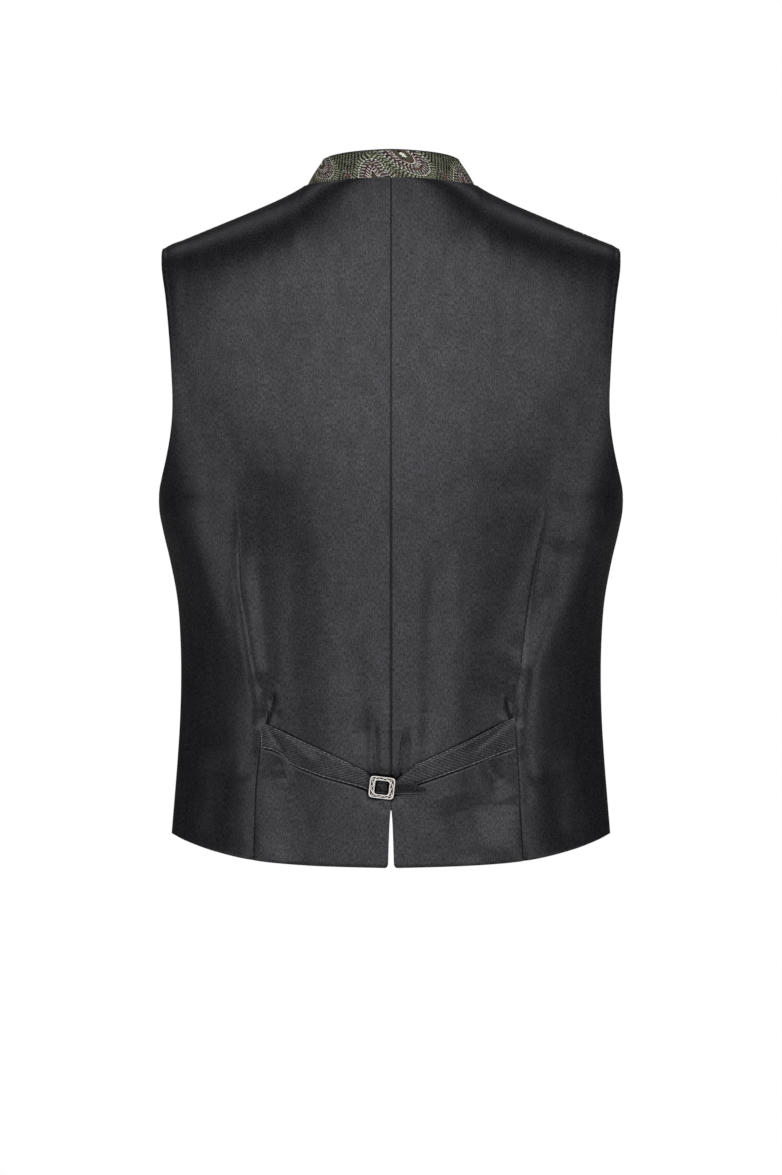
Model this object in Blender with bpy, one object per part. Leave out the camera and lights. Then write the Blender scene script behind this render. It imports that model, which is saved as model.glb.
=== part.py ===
"""A man's waistcoat with a satin back, cinch straps with a small buckle, and a stand collar.

It is held open as if worn: +Z up, the back faces +Y, the fronts face -Y, and +X is the
wearer's left. The origin lies in the middle of the neck opening, level with the points
where the shoulder seams meet the collar. Tables and sizes are in millimetres.
"""

import math
from collections import namedtuple

import bmesh
import bpy
import numpy as np

MM = 0.001
SEAM = 0.3  # gap that stands for a seam between two pieces
BACK_WALL, FRONT_WALL, COLLAR_WALL, FACING_WALL, STRAP_WALL = 1.6, 1.8, 1.9, 1.2, 1.0
ROUND = 2.3  # how square the body's level sections are; 2 is an ellipse
MID_Y = -10.0  # y of the widest point of every level section
UNDERARM_Z = -259.2
SIDE_SEAM_DEG = 97.0  # from centre back
NECK_HALF = 70.5
NECK_BACK, NECK_FRONT = 62.0, -66.0
OVERLAP = 18.0  # how far the left front passes centre front

# Half the width of the body at the side, with the y of its middle back and middle front.
Level = namedtuple("Level", "z half back front")
LEVELS = (
    Level(-570, 184.6, 93.4, -139.5),
    Level(-536, 182.2, 94.2, -138.5),
    Level(-507, 179.8, 95.0, -137.0),
    Level(-474, 177.2, 96.0, -135.0),
    Level(-441, 175.2, 97.4, -133.0),
    Level(-408, 174.4, 99.0, -132.0),
    Level(-375, 175.0, 100.9, -132.5),
    Level(-342, 177.4, 103.0, -134.5),
    Level(-309, 183.4, 105.4, -137.5),
    Level(-284, 189.2, 107.3, -139.5),
    Level(-268, 192.2, 108.5, -140.2),
    Level(UNDERARM_Z, 192.6, 109.0, -140.0),
    Level(-220, 194.0, 110.5, -136.0),
    Level(-182, 194.0, 109.5, -128.5),
    Level(-140, 194.0, 106.0, -121.0),
    Level(-100, 194.0, 102.5, -114.0),
    Level(-52, 194.0, 98.0, -106.0),
    Level(10, 194.0, 94.0, -99.0),
)

# Where the back turns away to the side: distance from centre back, and how straight the section
# runs from there to the side seam, from 0, as round as elsewhere, to 1.
Turn = namedtuple("Turn", "z x share")
TURNS = (
    Turn(-570, 101.0, 0.80),
    Turn(-500, 107.0, 0.90),
    Turn(-460, 110.0, 0.95),
    Turn(-425, 115.0, 0.95),
    Turn(-392, 124.0, 0.85),
    Turn(-358, 138.0, 0.65),
    Turn(-325, 152.0, 0.40),
    Turn(-292, 161.0, 0.15),
    Turn(UNDERARM_Z, 165.0, 0.0),
    Turn(10, 165.0, 0.0),
)

# Armhole edges: distance from the middle plane, and the angle round the section.
Edge = namedtuple("Edge", "z x deg")
BACK_ARMHOLE = (
    Edge(UNDERARM_Z, 192.6, 97.0),
    Edge(-256.5, 192.5, 90.0),
    Edge(-251.0, 191.6, 83.0),
    Edge(-242.6, 189.3, 75.5),
    Edge(-226.0, 184.8, 67.5),
    Edge(-209.5, 181.3, 62.5),
    Edge(-192.9, 179.2, 59.2),
    Edge(-176.4, 178.7, 57.0),
    Edge(-159.8, 179.3, 55.6),
    Edge(-126.7, 181.6, 54.4),
    Edge(-93.6, 185.2, 53.6),
    Edge(-68.7, 189.1, 53.2),
    Edge(-58.0, 190.0, 53.0),
    Edge(20.0, 190.0, 53.0),
)
FRONT_ARMHOLE = (
    Edge(UNDERARM_Z, 191.35, 83.0),
    Edge(-257.6, 189.4, 77.5),
    Edge(-253.2, 184.9, 71.0),
    Edge(-245.0, 178.9, 65.0),
    Edge(-232.0, 172.6, 59.5),
    Edge(-215.0, 168.0, 55.0),
    Edge(-193.0, 165.6, 52.2),
    Edge(-176.4, 165.2, 50.8),
    Edge(-159.8, 165.8, 50.0),
    Edge(-126.7, 169.6, 49.2),
    Edge(-93.6, 177.6, 48.6),
    Edge(-68.7, 186.4, 48.2),
    Edge(-58.0, 190.0, 48.0),
    Edge(20.0, 190.0, 48.0),
)

# The shoulder seam, from the neck outwards.
Seam = namedtuple("Seam", "x y z")
SHOULDER = (
    Seam(NECK_HALF, 0.0, 0.8),
    Seam(77.3, 0.4, -3.3),
    Seam(92.0, 1.2, -10.8),
    Seam(110.2, 2.2, -19.0),
    Seam(129.4, 3.2, -27.3),
    Seam(149.0, 4.0, -35.6),
    Seam(169.1, 4.7, -43.9),
    Seam(184.5, 5.0, -50.4),
    Seam(188.6, 5.0, -53.6),
    Seam(190.0, 5.0, -58.0),
)

# Hem heights: the back by the angle from centre back, the fronts by x.
Hem = namedtuple("Hem", "deg z")
BACK_HEM = (
    Hem(0, -558.6),
    Hem(20, -556.6),
    Hem(35, -553.4),
    Hem(50, -547.6),
    Hem(65, -541.0),
    Hem(78, -536.6),
    Hem(97, -535.0),
)
FRONT_HEM = (Hem(0, -566.0), Hem(30, -556.0), Hem(55, -545.5), Hem(75, -537.0), Hem(83, -535.0))
POINT_X, POINT_Z, CUT_Z = 58.0, -566.0, -500.0  # the fronts' points and where their edges turn to them

# Back darts: distance of the sewn line from centre back.
Dart = namedtuple("Dart", "z left right")
DARTS = (
    Dart(-558.0, 113.6, 109.0),
    Dart(-457.0, 109.5, 104.8),
    Dart(-437.0, 105.6, 103.2),
    Dart(-398.0, 112.0, 107.6),
    Dart(-360.0, 117.8, 112.8),
    Dart(-334.0, 122.0, 116.4),
    Dart(-280.0, 125.5, 123.8),
    Dart(-243.0, 127.0, 125.4),
    Dart(-150.0, 126.0, 125.0),
    Dart(20.0, 126.0, 125.0),
)
DART_TOP, DART_DEEP = -262.0, 1.1

# Soft troughs in the cloth, as lines from their top to their bottom; x is above 0 on the left.
Fold = namedtuple("Fold", "x1 z1 x2 z2 half deep")
BACK_FOLDS = (
    # the hollows beside the small of the back
    Fold(102, -262, 93, -530, 22, 5.4),
    Fold(-150, -288, -92, -398, 20, 5.0),
    Fold(-90, -396, -88, -530, 20, 5.2),
    # drawn in by the straps
    Fold(30, -380, 21, -462, 9, 1.1),
    Fold(-36, -300, -30, -458, 10, 1.6),
    Fold(110, -404, 94, -438, 7, 2.0),
    Fold(-108, -400, -95, -436, 7, 2.0),
    # below the straps
    Fold(84, -486, 90, -552, 13, 1.5),
    Fold(-78, -468, -93, -500, 9, 2.0),
    Fold(-50, -505, -62, -560, 14, 1.5),
    Fold(140, -470, 146, -545, 12, 1.6),
    Fold(-134, -470, -141, -545, 12, 1.8),
    # below the shoulders
    Fold(150, -190, 138, -300, 13, 1.6),
    Fold(-152, -180, -146, -285, 13, 1.6),
)
FRONT_FOLDS = (
    Fold(120, -190, 96, -330, 16, 2.4),
    Fold(-117, -190, -99, -330, 16, 2.4),
    Fold(88, -330, 84, -470, 15, 2.0),
    Fold(-90, -330, -80, -470, 15, 2.0),
    Fold(150, -300, 132, -440, 14, 2.4),
    Fold(-153, -300, -134, -440, 14, 2.4),
    Fold(40, -420, 52, -540, 14, 1.8),
    Fold(-43, -420, -50, -540, 14, 1.8),
    Fold(130, -470, 118, -548, 14, 1.8),
    Fold(-126, -470, -120, -548, 14, 1.8),
)

VENT_TOP, VENT_HALF = -511.6, 2.35


def follow(rows, key, value, at):
    """A smooth curve through two columns of a table, read at `at`."""
    keys = np.array([getattr(row, key) for row in rows], float)
    values = np.array([getattr(row, value) for row in rows], float)
    slopes = np.gradient(values, keys)
    at = np.clip(np.asarray(at, float), keys[0], keys[-1])
    i = np.clip(np.searchsorted(keys, at, side="right") - 1, 0, len(keys) - 2)
    step = keys[i + 1] - keys[i]
    t = (at - keys[i]) / step
    return (
        values[i] * (1 + 2 * t) * (1 - t) ** 2
        + slopes[i] * step * t * (1 - t) ** 2
        + values[i + 1] * t**2 * (3 - 2 * t)
        + slopes[i + 1] * step * t**2 * (t - 1)
    )


def power(value, exponent):
    return np.sign(value) * np.abs(value) ** exponent


def reach(face, z):
    """Half-width of the level section that the edge of this face lies on."""
    armhole = BACK_ARMHOLE if face > 0 else FRONT_ARMHOLE
    edge = follow(armhole, "z", "x", z) / power(
        np.sin(np.radians(np.minimum(follow(armhole, "z", "deg", z), 90.0))), 2 / ROUND
    )
    return np.where(z < UNDERARM_Z, follow(LEVELS, "z", "half", z), edge)


def edge_deg(face, z):
    armhole = BACK_ARMHOLE if face > 0 else FRONT_ARMHOLE
    level = SIDE_SEAM_DEG if face > 0 else 180 - SIDE_SEAM_DEG
    return np.where(z < UNDERARM_Z, level, follow(armhole, "z", "deg", z))


def turned(face, z, x, y):
    """y, with the back turned away to the side beyond its turning line."""
    if face < 0:
        return y
    half, start = reach(face, z), follow(TURNS, "z", "x", z)
    near = np.abs(follow(LEVELS, "z", "back", z) - MID_Y)
    share = np.clip(np.abs(x) / half, 0, 1)
    high = near * (1 - np.clip(start / half, 0, 1) ** ROUND) ** (1 / ROUND)
    left = np.clip((half - np.abs(x)) / np.maximum(half - start, 1.0), 0, None)
    straight = MID_Y + high * left**0.8
    soft = 9.0 * (1 - share**6)
    lower = 0.5 * (y + straight - np.sqrt((y - straight) ** 2 + soft**2))
    return y + (lower - y) * follow(TURNS, "z", "share", z)


def ring(face, z, deg):
    """x and y of the body at height z, deg round from the middle of this face."""
    angle = np.radians(deg)
    near = np.abs(follow(LEVELS, "z", "back" if face > 0 else "front", z) - MID_Y)
    far = np.abs(follow(LEVELS, "z", "front" if face > 0 else "back", z) - MID_Y)
    depth = np.where(np.cos(angle) > 0, near, far)
    x = reach(face, z) * power(np.sin(angle), 2 / ROUND)
    y = MID_Y + face * depth * power(np.cos(angle), 2 / ROUND)
    return x, np.where(np.cos(angle) > 0, turned(face, z, x, y), y)


def deg_at(face, z, x):
    share = np.clip(np.abs(x) / reach(face, z), 0, 1)
    return np.sign(x) * np.degrees(np.arcsin(share ** (ROUND / 2)))


def level_y(face, z, x):
    """y of the body at height z and distance x from the middle plane."""
    near = np.abs(follow(LEVELS, "z", "back" if face > 0 else "front", z) - MID_Y)
    share = np.clip(np.abs(x) / reach(face, z), 0, 1)
    return turned(face, z, x, MID_Y + face * near * (1 - share**ROUND) ** (1 / ROUND))


def column_deg(face, side, q, z):
    """Angle of a column: q 0 to 1 runs to the dart or the front's point, 1 to 2 to the edge."""
    if face > 0:
        inner = deg_at(face, z, follow(DARTS, "z", "left" if side > 0 else "right", z))
        first = 0.0 * z
    else:
        inner = deg_at(face, z, POINT_X + 0 * z)
        first = 0.0 * z
    outer = edge_deg(face, z)
    return np.where(q < 1, first + (inner - first) * q, inner + (outer - inner) * (q - 1))


def neck_point(face, x):
    """y and z of the neck seam at distance x from the middle plane."""
    turn = np.sqrt(np.clip(1 - (x / NECK_HALF) ** 2, 0, 1))
    if face > 0:
        return NECK_BACK * turn, 0.6 + 2.4 * turn**3
    return NECK_FRONT * turn, 0.8 - 52.8 * turn**1.3


NECK_Q = {1: 0.58, -1: 1.0}


def top_point(face, side, q):
    """Top of a column: x, y, z, and how round the cloth turns to reach it."""
    neck_q = NECK_Q[face]
    z0 = np.full_like(q, -120.0)
    share = ring(face, z0, column_deg(face, side, q, z0))[0] / follow(
        BACK_ARMHOLE if face > 0 else FRONT_ARMHOLE, "z", "x", z0
    )
    at_neck = ring(face, z0, column_deg(face, side, np.full_like(q, neck_q), z0))[0] / follow(
        BACK_ARMHOLE if face > 0 else FRONT_ARMHOLE, "z", "x", z0
    )
    turn = np.radians(90 * np.clip(q / neck_q, 0, 1)) + np.arcsin(np.clip(q, -1, 0) * POINT_X / NECK_HALF)
    tip = SHOULDER[-1].x
    x_shoulder = NECK_HALF + (tip - NECK_HALF) * np.clip((share - at_neck) / (1 - at_neck), 0, 1)
    on_neck = q <= neck_q
    x = np.where(on_neck, NECK_HALF * np.sin(turn), x_shoulder)
    y_neck, z_neck = neck_point(face, np.where(on_neck, x, NECK_HALF))
    y = np.where(on_neck, y_neck, follow(SHOULDER, "x", "y", x)) + face * SEAM / 2 * ~on_neck
    z = np.where(on_neck, z_neck, follow(SHOULDER, "x", "z", x))
    roundness = np.where(on_neck, np.sin(turn) ** 2, 1.0)
    at_snp = 105.0 if face > 0 else 165.0  # depth of the curve below the neck end of the shoulder
    out = (x - NECK_HALF) / (tip - NECK_HALF)
    deep = np.where(on_neck, 130 + (at_snp - 130) * np.sin(turn) ** 2, at_snp + (98 - at_snp) * out)
    return x, y, z, roundness, deep


def hem_z(face, deg, x):
    if face > 0:
        return follow(BACK_HEM, "deg", "z", np.abs(deg))
    start = deg_at(face, np.full_like(deg, POINT_Z), np.full_like(deg, POINT_X))
    outer = follow(FRONT_HEM, "deg", "z", (deg - start) / (83 - start) * 83)
    cut = CUT_Z + (POINT_Z - CUT_Z) * (x + OVERLAP) / (POINT_X + OVERLAP)
    return np.where(x < POINT_X - 1e-6, cut, outer)


def panel(face, side, q, r):
    """Outer points of one half of the back (face 1) or one front (face -1), made for +X.

    q runs across from the middle; r runs up: 0 hem, 1 underarm, 2 foot of the shoulder
    curve, 3 neck and shoulder seams.
    """
    q, r = np.meshgrid(np.asarray(q, float), np.asarray(r, float))
    x_top, y_top, z_top, roundness, deep = top_point(face, side, q)
    low = np.full_like(q, -545.0)
    deg_low = column_deg(face, side, q, low)
    z_low = hem_z(face, deg_low, ring(face, low, deg_low)[0])
    turn = np.radians(90 * np.clip(3 - r, -0.2, 1))
    z = np.where(
        r < 1,
        z_low + (UNDERARM_Z - z_low) * r,
        np.where(
            r < 2,
            UNDERARM_Z + (z_top - deep - UNDERARM_Z) * (r - 1),
            z_top - deep * (1 - np.cos(turn)),
        ),
    )
    deg = column_deg(face, side, q, z)
    x, y = ring(face, z, deg)
    edge_x = follow(BACK_ARMHOLE if face > 0 else FRONT_ARMHOLE, "z", "x", z)
    toward = np.where(r > 2, 1 - np.sin(turn), 0.0)
    x_high = edge_x * ((1 - toward) * x / edge_x + toward * x_top / SHOULDER[-1].x)
    x = np.where(r > 2, x_high, x)
    bend = roundness * np.sin(turn) + (1 - roundness) * np.sin(turn) ** 2
    y = np.where(r > 2, y_top + (level_y(face, z, x) - y_top) * bend, y)
    return np.stack([x, y, z], axis=2)


def normals_of(points, face):
    """Outward directions at the points of a grid, with rows up and columns outwards."""
    across = points[1:, 1:] - points[:-1, :-1]
    back = points[1:, :-1] - points[:-1, 1:]
    cells = np.cross(back, across) * face
    total = np.zeros_like(points)
    for rows in (slice(None, -1), slice(1, None)):
        for columns in (slice(None, -1), slice(1, None)):
            total[rows, columns] += cells
    return total / np.linalg.norm(total, axis=2, keepdims=True)


def seam_normals(normals, points, face, r):
    """Turn the wall square to its seams, so that the pieces on both sides keep their gap."""
    if face > 0:
        normals[:, 0, 0] = 0
    x, y, z = points[:, -1].T
    below = (r <= 1)[:, None]
    near = np.abs(follow(LEVELS, "z", "front" if face > 0 else "back", z) - MID_Y)
    near = np.where((y - MID_Y) * face > 0, np.abs(follow(LEVELS, "z", "back" if face > 0 else "front", z) - MID_Y), near)
    half = follow(LEVELS, "z", "half", z)
    level = np.stack(
        [
            power(x / half, ROUND - 1) / half,
            power((y - MID_Y) / near, ROUND - 1) / near,
            0 * z,
        ],
        axis=1,
    )
    level /= np.linalg.norm(level, axis=1, keepdims=True)
    edge = normals[:, -1]
    tilt = edge[:, 2:3]
    level = level * np.sqrt(1 - tilt**2)
    level[:, 2:3] = tilt
    normals[:, -1] = np.where(below, level, edge)
    on_shoulder = points[-1, :, 0] > NECK_HALF - 1e-3
    normals[-1, on_shoulder, 1] = 0
    return normals / np.linalg.norm(normals, axis=2, keepdims=True)


def sunk(x, z, folds, side):
    """How far the troughs of one side draw the cloth in; x is above 0 on both sides."""
    inward = np.zeros_like(x)
    for fold in folds:
        if fold.x1 * side < 0:
            continue
        x1, x2 = abs(fold.x1), abs(fold.x2)
        length = math.hypot(x2 - x1, fold.z2 - fold.z1)
        along = ((x - x1) * (x2 - x1) + (z - fold.z1) * (fold.z2 - fold.z1)) / length**2
        t = np.clip(along, 0, 1)
        gap = np.hypot(x - (x1 + t * (x2 - x1)), z - (fold.z1 + t * (fold.z2 - fold.z1)))
        fade = np.clip(np.minimum(along, 1 - along) * 4 + 0.35, 0, 1)
        inward += fold.deep * fade * np.exp(-((gap / fold.half) ** 2))
    return inward


def folded(points, normals, folds, side):
    """Points of one side moved in along their normals by that side's troughs."""
    x, z = points[:, :, 0], points[:, :, 2]
    inward = sunk(x, z, folds, side)
    if folds is FRONT_FOLDS:
        inward *= np.clip((np.abs(x) - 22) / 12, 0, 1)
    return points - normals * inward[:, :, None]


# Surfaces: colour, roughness, metallic.
Surface = namedtuple("Surface", "colour rough metal")
SURFACES = {
    "satin": Surface((0.022, 0.022, 0.025), 0.42, 0.0),
    "brocade": Surface((0.075, 0.072, 0.058), 0.6, 0.0),
    "metal": Surface((0.46, 0.44, 0.38), 0.33, 1.0),
}


def surface(name):
    material = bpy.data.materials.get(name)
    if material is None:
        material = bpy.data.materials.new(name)
        material.use_nodes = True
        shader = material.node_tree.nodes["Principled BSDF"]
        shader.inputs["Base Color"].default_value = (*SURFACES[name].colour, 1.0)
        shader.inputs["Roughness"].default_value = SURFACES[name].rough
        shader.inputs["Metallic"].default_value = SURFACES[name].metal
    return material


def surface_of(name):
    if name.startswith(("buckle", "bar", "button")):
        return surface("metal")
    return surface("brocade" if name.startswith("front") or name == "collar" else "satin")


def new_object(name, points, faces, side=1):
    mesh = bmesh.new()
    made = [mesh.verts.new((x * side * MM, y * MM, z * MM)) for x, y, z in points]
    for face in faces:
        mesh.faces.new([made[i] for i in face])
    bmesh.ops.recalc_face_normals(mesh, faces=mesh.faces)
    data = bpy.data.meshes.new(name)
    mesh.to_mesh(data)
    mesh.free()
    data.shade_smooth()
    data.set_sharp_from_angle(angle=math.radians(40))
    data.materials.append(surface_of(name))
    made_object = bpy.data.objects.new(name, data)
    bpy.context.scene.collection.objects.link(made_object)
    return made_object


def wall(name, outer, inner, side=1):
    """A closed piece of cloth between two grids of points."""
    rows, columns = outer.shape[:2]
    count = rows * columns
    at = np.arange(count).reshape(rows, columns)
    faces = []
    for i in range(rows - 1):
        for j in range(columns - 1):
            a, b, c, d = (int(k) for k in (at[i, j], at[i, j + 1], at[i + 1, j + 1], at[i + 1, j]))
            faces += [(a, b, c, d), (a + count, d + count, c + count, b + count)]
    rim = list(at[0, :]) + list(at[1:, -1]) + list(at[-1, -2::-1]) + list(at[-2:0:-1, 0])
    rim = [int(k) for k in rim]
    for a, b in zip(rim, rim[1:] + rim[:1]):
        faces.append((b, a, a + count, b + count))
    points = np.concatenate([outer.reshape(-1, 3), inner.reshape(-1, 3)])
    return new_object(name, points, faces, side)


def swept(name, stations, side=1):
    """A closed bar through rings of points, one ring a station, with flat ends."""
    stations = np.asarray(stations)
    count, around = stations.shape[:2]
    faces = []
    for i in range(count - 1):
        for j in range(around):
            a, b = i * around + j, i * around + (j + 1) % around
            faces.append((a, b, b + around, a + around))
    faces.append(tuple(range(around)))
    faces.append(tuple(range((count - 1) * around, count * around)))
    return new_object(name, stations.reshape(-1, 3), faces, side)


BACK_Q = np.array(
    [0, 0.05, 0.1, 0.16, 0.235, 0.33, 0.45, 0.58, 0.7, 0.8, 0.89, 0.955, 1,
     1.07, 1.16, 1.28, 1.41, 1.55, 1.69, 1.81, 1.91, 2]
)
FRONT_Q = np.array([-0.31, -0.16, 0, 0.22, 0.46, 0.68, 0.86, 1, 1.09, 1.2, 1.32, 1.45, 1.58, 1.7, 1.81, 1.91, 2])
ROWS = np.concatenate(
    [
        np.linspace(0, 1, 15)[:-1],
        1 + (np.arange(8) / 8) ** 1.5,
        2 + np.sin(np.radians([0, 15, 30, 45, 58, 70, 80, 90])) * 0 + np.arange(8) / 7,
    ]
)


def back_half(name, side):
    points = panel(1, side, BACK_Q, ROWS)
    z = points[:, :, 2]
    spread = VENT_HALF * np.clip((VENT_TOP - z) / (VENT_TOP + 558.6), 0, 1) ** 1.2
    points[:, :, 0] += (SEAM / 2 + spread) * np.clip(1 - points[:, :, 0] / 60, 0, 1) ** 2
    edge = ROWS <= 1
    points[edge, -1, :2] = np.stack(
        ring(1, z[edge, -1], SIDE_SEAM_DEG - np.degrees(SEAM / 2 / 192)), axis=1
    )
    normals = seam_normals(normals_of(points, 1), points, 1, ROWS)
    outer = folded(points, normals, BACK_FOLDS, side)
    dart = np.argmin(np.abs(BACK_Q - 1))
    deep = DART_DEEP * np.clip((DART_TOP - z[:, dart]) / 60, 0, 1)
    outer[:, dart] -= normals[:, dart] * deep[:, None]
    wall(name, outer, outer - normals * BACK_WALL, side)


def front_half(name, side):
    points = panel(-1, side, FRONT_Q, ROWS)
    x, y, z = points[:, :, 0], points[:, :, 1], points[:, :, 2]
    normals = normals_of(points, -1)
    if side < 0:
        share = np.clip((54 - x) / 28, 0, 1)
        near_neck = np.clip((z + 215) / 60, 0, 1)
        under = (FRONT_WALL + SEAM + 0.3 + 2.0 * near_neck) * share**2 * (3 - 2 * share)
        points = points - normals * under[:, :, None]
    edge = ROWS <= 1
    points[edge, -1, :2] = np.stack(
        ring(-1, z[edge, -1], 180 - SIDE_SEAM_DEG - np.degrees(SEAM / 2 / 192)), axis=1
    )
    normals = seam_normals(normals, points, -1, ROWS)
    outer = folded(points, normals, FRONT_FOLDS, side)
    wall(name, outer, outer - normals * FRONT_WALL, side)



WIDE = 20  # troughs at least this wide carry the straps in with them


def on_back(x, z, out=0.0):
    """A point `out` beyond the back, over x and z, with only its wide hollows."""
    step = 2.0
    y = level_y(1, z, x)
    slope_x = (level_y(1, z, x + step) - level_y(1, z, x - step)) / (2 * step)
    slope_z = (level_y(1, z + step, x) - level_y(1, z - step, x)) / (2 * step)
    normal = np.stack([-slope_x, np.ones_like(y), -slope_z], axis=-1)
    normal /= np.linalg.norm(normal, axis=-1, keepdims=True)
    hollows = [fold for fold in BACK_FOLDS if fold.half >= WIDE]
    low = np.where(x > 0, sunk(np.abs(x), z, hollows, 1), sunk(np.abs(x), z, hollows, -1))
    return np.stack([x, y, z], axis=-1) + normal * (np.asarray(out) - low)[..., None]


# The stand collar: its height and how far it leans in, by the angle from centre back.
Stand = namedtuple("Stand", "deg tall lean")
STAND = (
    Stand(0, 24.2, 12.0),
    Stand(45, 24.2, 20.0),
    Stand(75, 24.4, 30.0),
    Stand(90, 24.4, 33.0),
    Stand(130, 25.0, 26.0),
    Stand(180, 25.0, 17.0),
)
COLLAR_END_X = 7.0
COLLAR_CORNER = 9.0


def collar_frames(count):
    """Foot, upward and outward directions and height, from the right end round to the left."""
    end = 180 - math.degrees(math.asin(COLLAR_END_X / NECK_HALF))
    share = np.linspace(-1, 1, count)
    turn = np.radians(end * (share + 0.06 * np.sin(math.pi * share)))
    back_q = BACK_Q[BACK_Q <= NECK_Q[1]]
    front_q = FRONT_Q[(FRONT_Q >= 0) & (FRONT_Q < 1)][::-1]
    at = np.concatenate([90 * back_q / NECK_Q[1], 180 - 90 * front_q])
    x, y, z = (
        np.concatenate([one, two])
        for one, two in zip(top_point(1, 1, back_q)[:3], top_point(-1, 1, front_q)[:3])
    )
    deg = np.degrees(np.abs(turn))
    foot = np.stack(
        [np.sign(turn) * np.interp(deg, at, x), np.interp(deg, at, y), np.interp(deg, at, z)], axis=1
    )
    along = np.gradient(foot, axis=0)
    along /= np.linalg.norm(along, axis=1, keepdims=True)
    lean = np.radians(follow(STAND, "deg", "lean", deg))
    inward = np.stack([-np.sin(turn), -np.cos(turn), 0 * turn], axis=1)
    up = inward * np.sin(lean)[:, None]
    up[:, 2] = np.cos(lean)
    up -= along * (up * along).sum(1, keepdims=True)
    up /= np.linalg.norm(up, axis=1, keepdims=True)
    out = np.cross(up, along)
    out /= np.linalg.norm(out, axis=1, keepdims=True)
    run = np.concatenate([[0], np.cumsum(np.linalg.norm(np.diff(foot, axis=0), axis=1))])
    from_end = np.minimum(run, run[-1] - run)
    lost = COLLAR_CORNER - np.sqrt(
        np.clip(COLLAR_CORNER**2 - np.clip(COLLAR_CORNER - from_end, 0, None) ** 2, 0, None)
    )
    tall = follow(STAND, "deg", "tall", deg) - 0.8 * lost
    return foot, up, out, tall


def collar(count=47):
    foot, up, out, tall = collar_frames(count)
    outer, facing = [], []
    for at, rise, away, high in zip(foot, up, out, tall):
        top = high - FACING_WALL - SEAM
        bow = 0.7  # the band is a little round from foot to top

        def point(n, h):
            return at + away * (n + bow * math.sin(math.pi * min(h / high, 1))) + rise * h

        outer.append(
            [point(0, SEAM + 0.2), point(0, high * 0.35), point(0, high * 0.68), point(0, top),
             point(-COLLAR_WALL, top), point(-COLLAR_WALL, high * 0.68),
             point(-COLLAR_WALL, high * 0.35), point(-COLLAR_WALL, SEAM + 0.2)]
        )
        n1 = -COLLAR_WALL - 1.5 * SEAM
        n2 = n1 - FACING_WALL
        facing.append(
            [point(n1, SEAM + 0.2), point(n1, high * 0.35), point(n1, high * 0.68), point(n1, high - FACING_WALL),
             point(0.05, high - FACING_WALL), point(0.05, high - 0.45), point(-0.5, high),
             point(n2 + 0.5, high), point(n2, high - 0.5), point(n2, high * 0.68),
             point(n2, high * 0.35), point(n2, SEAM + 0.2)]
        )
    swept("collar", outer)
    swept("collar_facing", facing)


# The cinch straps from their dart to their end: the height of both edges, and how far the
# middle of the cloth stands off the back.
Cut = namedtuple("Cut", "x top bottom off")
LEFT_STRAP = (
    Cut(107.0, -441.4, -462.0, 0.8),
    Cut(102.0, -443.4, -462.8, 0.8),
    Cut(97.4, -445.3, -464.0, 0.8),
    Cut(90.8, -447.8, -467.3, 0.8),
    Cut(83.3, -450.9, -473.8, 0.8),
    Cut(76.0, -454.2, -477.4, 0.8),
    Cut(66.0, -458.6, -480.9, 0.8),
    Cut(56.1, -463.0, -484.4, 0.8),
    Cut(47.8, -466.9, -486.7, 0.8),
    Cut(39.6, -470.8, -488.9, 0.8),
    Cut(29.0, -476.0, -491.8, 0.8),
    Cut(19.4, -481.4, -494.9, 0.85),
    Cut(17.0, -483.6, -496.2, 1.3),
    Cut(14.8, -485.8, -497.0, 2.0),
    Cut(12.9, -487.7, -497.1, 2.25),
    Cut(11.3, -488.0, -497.3, 3.6),
    Cut(9.9, -488.1, -497.5, 4.6),
    Cut(7.6, -488.4, -497.8, 4.75),
    Cut(5.2, -488.7, -498.1, 4.6),
    Cut(3.6, -488.9, -498.2, 3.6),
    Cut(1.7, -489.0, -498.4, 2.2),
    Cut(-1.0, -488.2, -499.2, 2.1),
    Cut(-5.0, -487.8, -499.2, 2.2),
    Cut(-12.0, -487.8, -499.0, 2.6),
    Cut(-17.4, -488.9, -499.0, 2.7),
    Cut(-21.9, -491.0, -498.9, 2.6),
    Cut(-25.6, -492.4, -498.7, 2.4),
    Cut(-28.2, -494.0, -498.2, 2.2),
)
BAR_OFF, WRAP = 2.1, 1.3


def right_strap_cuts():
    """The right strap runs to the buckle's bar, round it and a little way back."""
    cuts = [(x, 0.8) for x in (-101.5, -95, -86, -74, -62, -50, -38, -28, -18, -8, 0, 4)]
    centre = BUCKLE_X + 0.3
    cuts += [
        (centre + WRAP * math.sin(t), BAR_OFF - WRAP * math.cos(t))
        for t in np.radians([0, 30, 60, 90, 120, 150, 180])
    ]
    cuts.append((centre - 2.2, BAR_OFF + WRAP))
    rows = []
    for x, off in cuts:
        top, bottom = -436.9 - 0.4625 * (x + 102.1), -463.3 - 0.351 * (x + 99.8)
        near = min(max((x + 12.0) / 12.0, 0), 1)
        middle = BUCKLE_Z + (x - BUCKLE_X) * math.tan(math.radians(BUCKLE_TURN))
        rows.append(
            Cut(x, top + (middle + 4.95 - top) * near, bottom + (middle - 4.95 - bottom) * near, off)
        )
    return rows


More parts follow.
